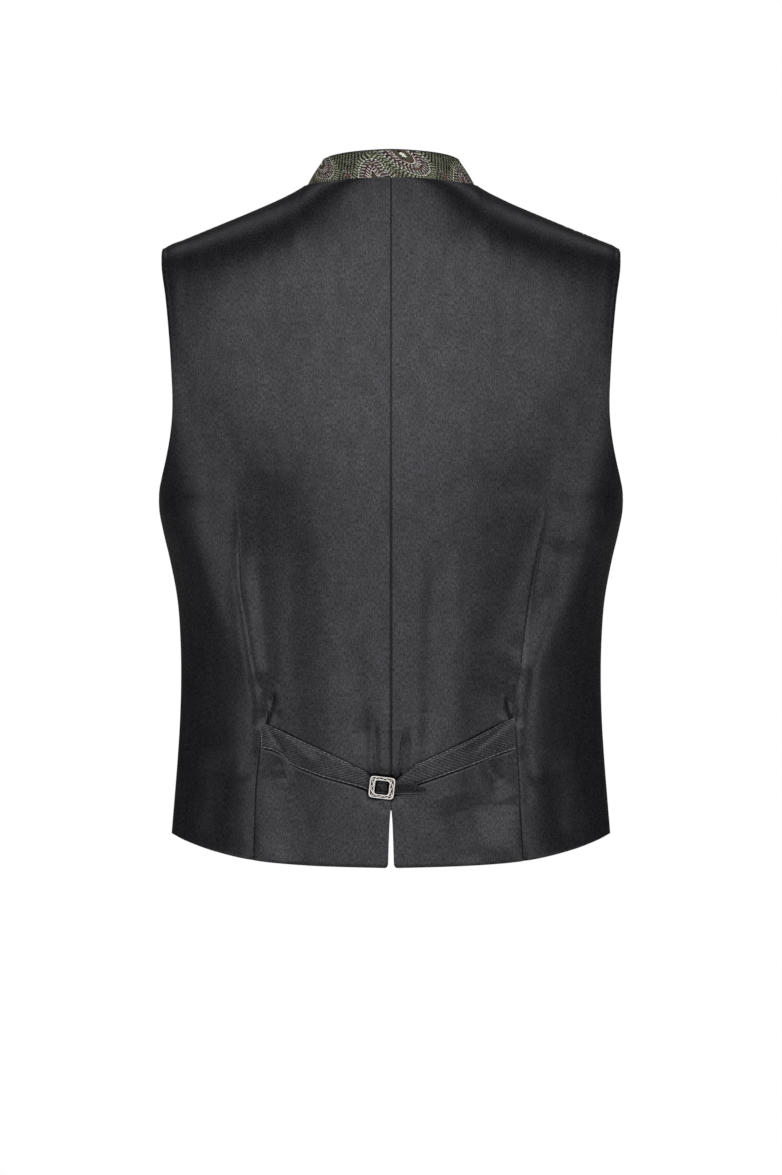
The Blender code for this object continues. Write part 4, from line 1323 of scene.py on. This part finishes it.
BACK_COLUMNS = crowded((0, 1, 2), (78, 46), 0.8)
FRONT_COLUMNS = np.concatenate([np.linspace(-0.31, 0, 16)[:-1], crowded((0, 1, 2), (30, 46), 0.5)])
UPPER_ROWS = np.concatenate([1 + (np.arange(44) / 44) ** 1.2, 2 + np.linspace(0, 1, 66)])
BACK_ROWS = np.concatenate([crowded((0, 0.145, 0.44, 1), (13, 92, 54), 0)[:-1], UPPER_ROWS])
FRONT_ROWS = np.concatenate([np.linspace(0, 1, 86)[:-1], UPPER_ROWS])


def sew_halves(context, name, face, make, columns, rows, look, slot, wall):
    """Both halves of the back (face 1), or both fronts (face -1)."""
    soft = context.scene.waistcoat_sewing.soft_edge / MM
    prefix = "satin_" if face > 0 else "figured_"
    for hand, side in (("_left", 1), ("_right", -1)):
        points = make(side, columns, rows)
        points[:, :, 0] *= side
        materials = (finish(look), finish("lining"))
        uv = cloth_uv(face, points, rows)
        piece = grid_piece(
            prefix + name + hand, points, uv, materials, wall, out=(0, face, 0), soft=soft
        )
        sew_on(piece, slot, name + hand)
        declare(points)


class WAISTCOAT_OT_back(bpy.types.Operator):
    """Make both halves of the satin back"""

    bl_idname = "waistcoat.back"
    bl_label = "Back"

    def execute(self, context):
        sew_halves(
            context, "back", 1, back_points, BACK_COLUMNS, BACK_ROWS,
            "back_satin", "satin", BACK_WALL,
        )
        return {"FINISHED"}


class WAISTCOAT_OT_fronts(bpy.types.Operator):
    """Make both patterned fronts"""

    bl_idname = "waistcoat.fronts"
    bl_label = "Fronts"

    def execute(self, context):
        sew_halves(
            context, "front", -1, front_points, FRONT_COLUMNS, FRONT_ROWS,
            "brocade", "brocade", FRONT_WALL,
        )
        return {"FINISHED"}


def collar_grid(frames, section):
    """Points of a band round the neck, from a section of (out, up) at each place."""
    rows = []
    for at, rise, away, high in zip(*frames):
        row = []
        for n, h in section(high):
            bow = COLLAR_BOW * math.sin(math.pi * min(max(h / high, 0), 1))
            row.append(at + away * (n + bow) + rise * h)
        rows.append(row)
    return np.array(rows).transpose(1, 0, 2)


def fine_frames(count):
    """The collar's frames, read finely along it."""
    steps = np.arange(47)
    at = np.linspace(0, steps[-1], count)
    *ways, tall = collar_frames(len(steps))
    smoothed = []
    for way in ways:
        one = np.stack([np.interp(at, steps, way[:, k]) for k in range(3)], axis=1)
        for _ in range(3):
            one[2:-2] = (one[:-4] + one[1:-3] * 2 + one[2:-2] * 2 + one[3:-1] * 2 + one[4:]) / 8
        smoothed.append(one)
    foot, up, out = smoothed
    return foot, unit(up), unit(out), np.interp(at, steps, tall)


class WAISTCOAT_OT_collar(bpy.types.Operator):
    """Make the stand collar and its facing, which shows as the dark edge on top"""

    bl_idname = "waistcoat.collar"
    bl_label = "Collar"

    def execute(self, context):
        frames = fine_frames(369)

        def band(high):
            top = high - FACING_WALL - SEAM
            # its foot is tucked into the neck seam
            foot = [(-1.0, -3.0), (-0.8, -2.0), (-0.5, -0.9), (-0.2, -0.25)]
            return foot + [(0.0, 0.1 + (top - 0.1) * t) for t in np.linspace(0, 1, 24)]

        points = collar_grid(frames, band)
        materials = (finish("brocade"), finish("lining"))
        piece = grid_piece(
            "figured_collar", points, lengths(points), materials, COLLAR_WALL, soft=0.3
        )
        sew_on(piece, "brocade", "collar")
        declare(points)

        inside = -COLLAR_WALL - 1.5 * SEAM - FACING_WALL

        turns = [(math.sin(t), math.cos(t)) for t in np.radians((20, 45, 70))]

        def rolled(high):
            line = [(0.08, high - 1.25), (0.10, high - 0.8)]
            line += [(-0.55 + 0.62 * cos, high - 0.62 + 0.62 * sin) for sin, cos in turns]
            line += [(-1.0, high), (-2.0, high), (inside + 1.0, high)]
            line += [(inside + 0.7 - 0.7 * sin, high - 0.7 + 0.7 * cos) for sin, cos in turns]
            line += [(inside, high - 1.2 - (high - 1.7 - SEAM) * t) for t in np.linspace(0, 1, 14)]
            return line

        points = collar_grid(frames, rolled)
        materials = (finish("back_satin"), finish("lining"))
        piece = grid_piece(
            "satin_collar_facing", points, lengths(points), materials, FACING_WALL - 0.1, soft=0.25
        )
        sew_on(piece, "satin", "collar_facing")
        declare(points)
        return {"FINISHED"}


# The strap's edge, from the fold inwards: a soft roll, then the groove of its stitches.
EDGE_AT = (0, 0.12, 0.35, 0.65, 1.0, 1.35, 1.7, 2.1, 2.7)
EDGE_OUT = (-0.75, -0.15, 0.20, 0.42, 0.36, 0.02, -0.40, -0.16, 0.0)
GROOVE = EDGE_AT.index(1.7)
TONGUE_TILT = 0.40  # how far the tongue's lower edge turns in for its height


def strap_grid(cuts, count, inner, side):
    """The outer face of a strap, read finely along and across."""
    cuts = np.array(cuts, float)
    run = run_of(cuts[:, [0, 3]])
    fine = curve(run, cuts, np.linspace(0, run[-1], count))
    way = unit(np.gradient(fine[:, [0, 3]], axis=0))
    sign = 1 if cuts[0, 0] < cuts[-1, 0] else -1
    wide = np.abs(fine[:, 2:3] - fine[:, 1:2])
    edge = np.array(EDGE_AT)[None, :]
    middle = EDGE_AT[-1] + (wide - 2 * EDGE_AT[-1]) * np.linspace(0, 1, inner + 2)[None, 1:-1]
    from_top = np.concatenate([edge + 0 * wide, middle, wide - edge[:, ::-1]], axis=1)
    from_edge = np.minimum(from_top, wide - from_top)
    x = fine[:, 0] - sign * way[:, 1] * 0.5 * STRAP_WALL
    off = fine[:, 3] + sign * way[:, 0] * 0.5 * STRAP_WALL
    z = fine[:, 1:2] - from_top
    square = np.clip(1.8 - np.abs(x - BUCKLE_X) / 10, 0, 1)[:, None]
    x = x[:, None] - (z - BUCKLE_Z) * math.tan(math.radians(BUCKLE_TURN)) * square
    out = off[:, None] + np.interp(from_edge, EDGE_AT, EDGE_OUT)
    if side > 0:  # the tongue's lower edge turns in, past the buckle
        out += TONGUE_TILT * smooth(0, 12, -x) * (z - (fine[:, 1:2] + fine[:, 2:3]) / 2)
    return on_back(x, z, out - dented(x * side, z, STRAP_CREASES, side))


def stitched(name, lines, pitch, long, wide):
    """Running stitches along lines, each given by its points and outward directions."""
    stitches = []
    for points, outs in lines:
        run = run_of(points)
        for at in np.arange(pitch / 2, run[-1] - pitch / 2, pitch):
            place, ahead, out = (
                np.array([np.interp(where, run, one[:, k]) for k in range(3)])
                for where, one in ((at, points), (at + 0.4, points), (at, outs))
            )
            stitches.append((place, ahead - place, out, long, wide))
    thread_piece(name, stitches)


def thread_piece(name, stitches):
    """One piece of stitches, each given by its place, way, outward direction, length and width."""
    one = bmesh.new()
    bmesh.ops.create_uvsphere(one, u_segments=8, v_segments=5, radius=0.5)
    stitch = bpy.data.meshes.new("stitch")
    one.to_mesh(stitch)
    one.free()
    mesh = bmesh.new()
    for place, way, out, long, wide in stitches:
        way = unit(way)
        out = unit(out - way * (out @ way))
        turned = Matrix([np.cross(out, way) * wide, out * wide, way * long]).transposed().to_4x4()
        turned.translation = Vector(place)
        turned = Matrix.Scale(MM, 4) @ turned
        stitch.transform(turned)
        mesh.from_mesh(stitch)
        stitch.transform(turned.inverted())
    bpy.data.meshes.remove(stitch)
    sew_on(made_piece(mesh, name, finish("thread")), "satin")


class WAISTCOAT_OT_straps(bpy.types.Operator):
    """Make both cinch straps"""

    bl_idname = "waistcoat.straps"
    bl_label = "Cinch straps"

    def execute(self, context):
        lines = []
        straps = (("strap_left", LEFT_STRAP, 1), ("strap_right", right_strap_cuts(), -1))
        for name, cuts, side in straps:
            points = strap_grid(cuts, 300, 14, side)
            u, v = lengths(points)
            look = (finish("strap_satin"),)
            piece = grid_piece("satin_" + name, points, (v, u), look, STRAP_WALL - 0.05, soft=0.15)
            sew_on(piece, "satin", name)
            declare(points)
            outs = normals_of(points, 1)
            if outs[5, 5, 1] < 0:
                outs = -outs
            x = points[:, 0, 0]
            shown = np.abs(x - BUCKLE_X) > BUCKLE_HALF_X + 1
            for span in (shown & (x * side > 0), shown & (x * side < 0)):
                if span.sum() > 20:
                    for k in (GROOVE, -1 - GROOVE):
                        lines.append((points[span, k] - 0.03 * outs[span, k], outs[span, k]))
        pitch = context.scene.waistcoat_sewing.stitch_pitch / MM
        stitched("thread_strap_stitches", lines, pitch, 0.72 * pitch, 0.36)
        return {"FINISHED"}


class WAISTCOAT_OT_buckle(bpy.types.Operator):
    """Make the buckle, with a waved relief in its channel"""

    bl_idname = "waistcoat.buckle"
    bl_label = "Buckle"

    def execute(self, context):
        waves = context.scene.waistcoat_sewing.ridges
        centre = on_back(np.array(BUCKLE_X), np.array(BUCKLE_Z))
        turn = math.radians(BUCKLE_TURN)
        out = on_back(np.array(BUCKLE_X), np.array(BUCKLE_Z), np.array(1.0)) - centre
        up = np.array([-math.sin(turn), 0, math.cos(turn)])
        up = unit(up - out * (up @ out))
        along = np.cross(out, up)

        def place(a, b, c):
            return centre + along * a + up * b + out * (c + BUCKLE_FOOT)

        # across a rim, from its outer side to the window: share of the way, and height
        section = np.array(
            [(0.05, 0.05), (0, 0.35), (0, 1.65), (0.03, 2.0), (0.09, 2.25), (0.17, 2.3),
             (0.25, 2.2), (0.29, 1.9), (0.33, 1.6), (0.38, 1.5), (0.44, 1.5), (0.5, 1.5),
             (0.56, 1.5), (0.62, 1.5), (0.67, 1.6), (0.71, 1.9), (0.75, 2.2), (0.83, 2.3),
             (0.91, 2.25), (0.97, 2.0), (1, 1.65), (1, 0.35), (0.95, 0.05), (0.5, 0.0)]
        )
        count = 16 * waves

        def path(half_x, half_z, s):
            """Point at share s round a rectangle with round corners."""
            c, d = math.cos(2 * math.pi * s), math.sin(2 * math.pi * s)
            square = 7.0  # 2 is an ellipse
            r = (abs(c / half_x) ** square + abs(d / half_z) ** square) ** (-1 / square)
            return np.array([c * r, d * r])

        grid = []
        for i in range(count + 1):
            s = i / count
            # even steps along the straight sides
            t = s + 0.02 * math.sin(8 * math.pi * s)
            outer = path(BUCKLE_HALF_X, BUCKLE_HALF_Z, t)
            inner = path(WINDOW_HALF_X, WINDOW_HALF_Z, t)
            wave = math.sin(2 * math.pi * s * waves)
            row = []
            for share, high in section:
                lift = 0.0
                if 0.3 < share < 0.7 and high > 1:
                    lift = 0.62 * bell(share - (0.53 + 0.15 * wave), 0.075)
                    lift += 0.3 * bell(share - (0.53 - 0.16 * wave), 0.06) * abs(wave) ** 3
                row.append(place(*(outer + (inner - outer) * share), high + lift))
            grid.append(row + [row[0]])
        points = np.array(grid)
        share = np.tile([one[0] for one in section] + [section[0][0]], (count + 1, 1))
        share[:, -3:] = 0.02
        turns = np.tile(np.linspace(0, waves, count + 1)[:, None], (1, points.shape[1]))
        look = (finish("chased_metal"),)
        piece = grid_piece("silver_buckle", points, (share, turns), look, merge=True)
        bar = bmesh.new()
        bar.from_mesh(piece.data)
        line = [(7.2, BUCKLE_FOOT + 0.9), (7.15, BUCKLE_FOOT + 0.1)]
        line += [(6.9, BAR_OFF + 0.15), (6.3, BAR_OFF)]
        line += [(-b, c) for b, c in reversed(line)]
        made = bmesh.ops.create_grid(
            bar, x_segments=len(line) - 1, y_segments=16, size=1.0
        )["verts"]
        for vert in made:
            i = int(round((vert.co.x + 1) / 2 * (len(line) - 1)))
            t = 2 * math.pi * (vert.co.y + 1) / 2
            before, after = line[max(i - 1, 0)], line[min(i + 1, len(line) - 1)]
            way = unit(np.array([after[0] - before[0], after[1] - before[1]]))
            b, c = line[i]
            side, rise = 0.5 * math.cos(t), 0.5 * math.sin(t)
            vert.co = place(0.3 + side, b + rise * way[1], c - rise * way[0] - BUCKLE_FOOT) * MM
        bmesh.ops.remove_doubles(bar, verts=made, dist=1e-6)
        bmesh.ops.holes_fill(bar, edges=[edge for edge in bar.edges if edge.is_boundary], sides=0)
        bmesh.ops.recalc_face_normals(bar, faces=bar.faces)
        bar.to_mesh(piece.data)
        bar.free()
        piece.data.shade_smooth()
        sew_on(piece, "metal", "buckle")
        return {"FINISHED"}


BUTTON_OUTLINE = (
    (0.0, 0.4), (2.2, 0.4), (2.4, 1.4), (2.9, 1.7), (8.2, 1.9), (8.8, 2.2), (9.0, 2.6),
    (8.85, 3.0), (8.4, 3.3), (7.9, 3.35), (7.5, 3.2), (7.2, 3.15), (6.6, 3.5), (5.2, 4.05),
    (3.4, 4.5), (2.7, 4.6), (2.5, 4.5), (2.2, 4.5), (1.8, 4.8), (1.0, 5.05), (0.0, 5.1),
)


def front_place(x, z):
    """A point of the left front at centre front, with its outward direction."""
    middle = panel(-1, 1, np.array([-0.05, 0.0, 0.05]), np.linspace(0.0, 3.0, 301))[:, 1]
    below, y, above = np.interp((z - 4, z, z + 4), middle[:, 2], middle[:, 1])
    return np.array([x, y, z]), unit(np.array([0, -1.0, (above - below) / 8]))


def button_heights():
    return [BUTTON_TOP + (BUTTON_BOTTOM - BUTTON_TOP) * k / (BUTTONS - 1) for k in range(BUTTONS)]


class WAISTCOAT_OT_buttons(bpy.types.Operator):
    """Turn the seven metal buttons"""

    bl_idname = "waistcoat.buttons"
    bl_label = "Buttons"

    def execute(self, context):
        steps = context.scene.waistcoat_sewing.button_steps
        for number, z in enumerate(button_heights()):
            at, out = front_place(0.0, z)
            right = np.array([1.0, 0, 0])
            up = np.cross(out, right)
            mesh = bmesh.new()
            outline = [mesh.verts.new((r * MM, 0, h * MM)) for r, h in BUTTON_OUTLINE]
            edges = [mesh.edges.new(pair) for pair in zip(outline, outline[1:])]
            bmesh.ops.spin(
                mesh, geom=outline + edges, cent=(0, 0, 0), axis=(0, 0, 1), angle=2 * math.pi,
                steps=steps, use_merge=True,
            )
            bmesh.ops.remove_doubles(mesh, verts=mesh.verts, dist=1e-6)
            for vert in mesh.verts:
                radius = math.hypot(vert.co.x, vert.co.y) / MM
                turn = math.atan2(vert.co.y, vert.co.x)
                if 3.0 < radius < 7.0 and vert.co.z > 3.0 * MM:  # twelve scallops on the dome
                    scallop = math.cos(12 * turn) * math.sin(math.pi * (radius - 3) / 4)
                    vert.co.z += 0.16 * MM * scallop
            turned = Matrix([right, up, out]).transposed().to_4x4()
            turned.translation = Vector(at * MM)
            bmesh.ops.transform(mesh, matrix=turned, verts=mesh.verts)
            bmesh.ops.recalc_face_normals(mesh, faces=mesh.faces)
            piece = made_piece(mesh, f"silver_button_{number + 1}", finish("antique_metal"))
            piece.data.set_sharp_from_angle(angle=math.radians(50))
            sew_on(piece, "metal", f"button_{number + 1}")
        return {"FINISHED"}


COOL_LIGHT = (0.975, 0.965, 1.10)  # the light on the back is a little violet
HOLE_START, HOLE_END, HOLE_HALF, HOLE_PITCH = -2.0, 15.0, 1.25, 0.62


class WAISTCOAT_OT_buttonholes(bpy.types.Operator):
    """Work the buttonholes, and the stitches along the closing edge"""

    bl_idname = "waistcoat.buttonholes"
    bl_label = "Buttonholes"

    def execute(self, context):
        cloth = front_points(1, FRONT_COLUMNS, FRONT_ROWS)
        outs = normals_of(cloth, -1)

        def on_front(x, z):
            away = (cloth[:, :, 0] - x) ** 2 + (cloth[:, :, 2] - z) ** 2
            i, j = np.unravel_index(np.argmin(away), away.shape)
            out, near = outs[i, j], cloth[i, j]
            y = near[1] - (out[0] * (x - near[0]) + out[2] * (z - near[2])) / out[1]
            return np.array([x, y, z]), out

        stitches = []
        for height in button_heights():
            for x in np.arange(HOLE_START, HOLE_END, HOLE_PITCH):
                for up in (-1, 1):
                    place, out = on_front(x, height + up * HOLE_HALF * 0.75)
                    way, long = np.array([0.06, 0, 1.0]), 2 * HOLE_HALF * 0.75
                    stitches.append((place, way, out, long, 0.6))
            for step in range(6):
                x = HOLE_END + 0.1 + 0.25 * (step % 2)
                place, out = on_front(x, height + (step - 2.5) * HOLE_PITCH)
                stitches.append((place, np.array([1.0, 0, 0]), out, 1.5, 0.6))
        thread_piece("thread_buttonholes", stitches)
        pitch = 2 * context.scene.waistcoat_sewing.stitch_pitch / MM
        rows = FRONT_ROWS < 2.9
        stitched("thread_front_edge", [(cloth[rows, 4], outs[rows, 4])], pitch, 1.1, 0.4)
        return {"FINISHED"}


class WAISTCOAT_OT_studio(bpy.types.Operator):
    """Set up the floor, the lights and the camera"""

    bl_idname = "waistcoat.studio"
    bl_label = "Studio"

    def execute(self, context):
        studio = context.scene.waistcoat_studio
        scene = context.scene
        mesh = bmesh.new()
        bmesh.ops.create_grid(mesh, x_segments=2, y_segments=2, size=2.6)
        bmesh.ops.translate(mesh, verts=mesh.verts, vec=(0, 0, -1.43))
        pale = new_finish("pale_floor", Base_Color=(0.8, 0.8, 0.8, 1), Roughness=0.9)[0]
        made_piece(mesh, "studio_floor", pale)

        def softbox(name, place, target, wide, tall, power, colour):
            light = bpy.data.lights.new(name, "AREA")
            light.shape, light.size, light.size_y = "RECTANGLE", wide, tall
            light.energy, light.color = power, colour
            lamp = bpy.data.objects.new(name, light)
            lamp.location = place
            way = Vector(target) - Vector(place)
            lamp.rotation_euler = way.to_track_quat("-Z", "Y").to_euler()
            lamp.visible_camera = False
            scene.collection.objects.link(lamp)
            return lamp

        front = softbox(
            "front_light", (0, -3.8, 0.1), (0, 0.1, -0.30), 0.7, 1.8, studio.front_power, (1, 1, 1)
        )
        front.visible_glossy = False  # or it glares from the edges of the shoulders
        top, wide = 1.7, 0.9
        for number, (foot, share) in enumerate(((-0.76, 0.38), (-0.55, 0.60))):
            tall = top - foot
            power = studio.near_power * share * wide * tall
            place = (0, studio.near_back, (top + foot) / 2)
            softbox(
                f"near_light_{number + 1}", place, (0, 0, place[2]), wide, tall, power, COOL_LIGHT
            )

        world = bpy.data.worlds.new("studio_world")
        scene.world = world
        world.use_nodes = True
        strand = Strand(world.node_tree)
        x, y, z = strand.node("TexCoord").parts()
        round_deg = x.abs().angle_from(y) * (180 / math.pi)
        up_deg = z.arcsine() * (180 / math.pi)

        def profile(*stops):
            greys = [(deg / 180, (value, value, value, 1)) for deg, value in stops]
            return strand.node("ValToRGB", {"stops": greys}, {0: round_deg / 180})

        high = profile(
            (17, 0.55), (26, 0.88), (34, 0.94), (44, 0.82), (53, 0.68), (62, 0.52), (70, 0.22),
            (80, 0.07), (110, 0.02),
        )
        gap = 0.3 * (1.0 - studio.gap_share)
        low = profile(
            (14, 0.3), (20, 0.28), (27, gap), (50, gap), (61, 0.66), (72, 0.68), (84, 0.32),
            (98, 0.09), (118, 0.02),
        )
        wall = up_deg.range(-5, 2).blend(low, high)
        wall = wall * up_deg.range(-62, -38) * up_deg.range(74, 54)
        screens = up_deg.range(36, 50) * up_deg.range(84, 70) * 0.3
        screens = screens + up_deg.range(-62, -48) * up_deg.range(-12, -24)
        front_sky = round_deg.range(115, 145) * screens
        lit = wall * studio.wall_bright + front_sky * studio.front_sky + studio.around
        shown = strand.node("LightPath", output=0)
        strength = lit * (1.0 - shown) + shown
        tint = shown.blend((0.985, 0.987, 1.025, 1), (1, 1, 1, 1))
        plug(world.node_tree.nodes["Background"], Color=tint, Strength=strength)

        lens = bpy.data.cameras.new("studio_camera")
        lens.sensor_fit, lens.sensor_height = "VERTICAL", 24.0
        lens.lens = 24.0 * studio.camera_back / studio.view_height
        camera = bpy.data.objects.new("studio_camera", lens)
        camera.location = (0, studio.camera_back, studio.camera_height)
        camera.rotation_euler = (math.radians(90), 0, math.radians(180))
        scene.collection.objects.link(camera)
        scene.camera = camera
        scene.view_settings.view_transform = "Standard"
        return {"FINISHED"}


class WAISTCOAT_PT_sidebar(bpy.types.Panel):
    """Sizes, colours and one button for each part of the waistcoat"""

    bl_idname = "WAISTCOAT_PT_sidebar"
    bl_label = "Waistcoat"
    bl_space_type = "VIEW_3D"
    bl_region_type = "UI"
    bl_category = "Waistcoat"

    def draw(self, context):
        for group in ("waistcoat_cloth", "waistcoat_sewing", "waistcoat_studio"):
            values = getattr(context.scene, group)
            box = self.layout.box()
            for name in values.__annotations__:
                box.prop(values, name)
        for operator in OPERATORS:
            self.layout.operator(operator.bl_idname)


GROUPS = (WaistcoatCloth, WaistcoatSewing, WaistcoatStudio)
OPERATORS = (
    WAISTCOAT_OT_back,
    WAISTCOAT_OT_fronts,
    WAISTCOAT_OT_collar,
    WAISTCOAT_OT_straps,
    WAISTCOAT_OT_buckle,
    WAISTCOAT_OT_buttons,
    WAISTCOAT_OT_buttonholes,
    WAISTCOAT_OT_studio,
)
CLASSES = GROUPS + OPERATORS + (WAISTCOAT_PT_sidebar,)


def register():
    for one in CLASSES:
        bpy.utils.register_class(one)
    bpy.types.Scene.waistcoat_cloth = PointerProperty(type=WaistcoatCloth)
    bpy.types.Scene.waistcoat_sewing = PointerProperty(type=WaistcoatSewing)
    bpy.types.Scene.waistcoat_studio = PointerProperty(type=WaistcoatStudio)


def unregister():
    for name in ("waistcoat_cloth", "waistcoat_sewing", "waistcoat_studio"):
        delattr(bpy.types.Scene, name)
    for one in reversed(CLASSES):
        bpy.utils.unregister_class(one)


def main():
    register()
    for operator in OPERATORS:
        group, name = operator.bl_idname.split(".")
        getattr(getattr(bpy.ops, group), name)()


if __name__ == "__main__":
    main()
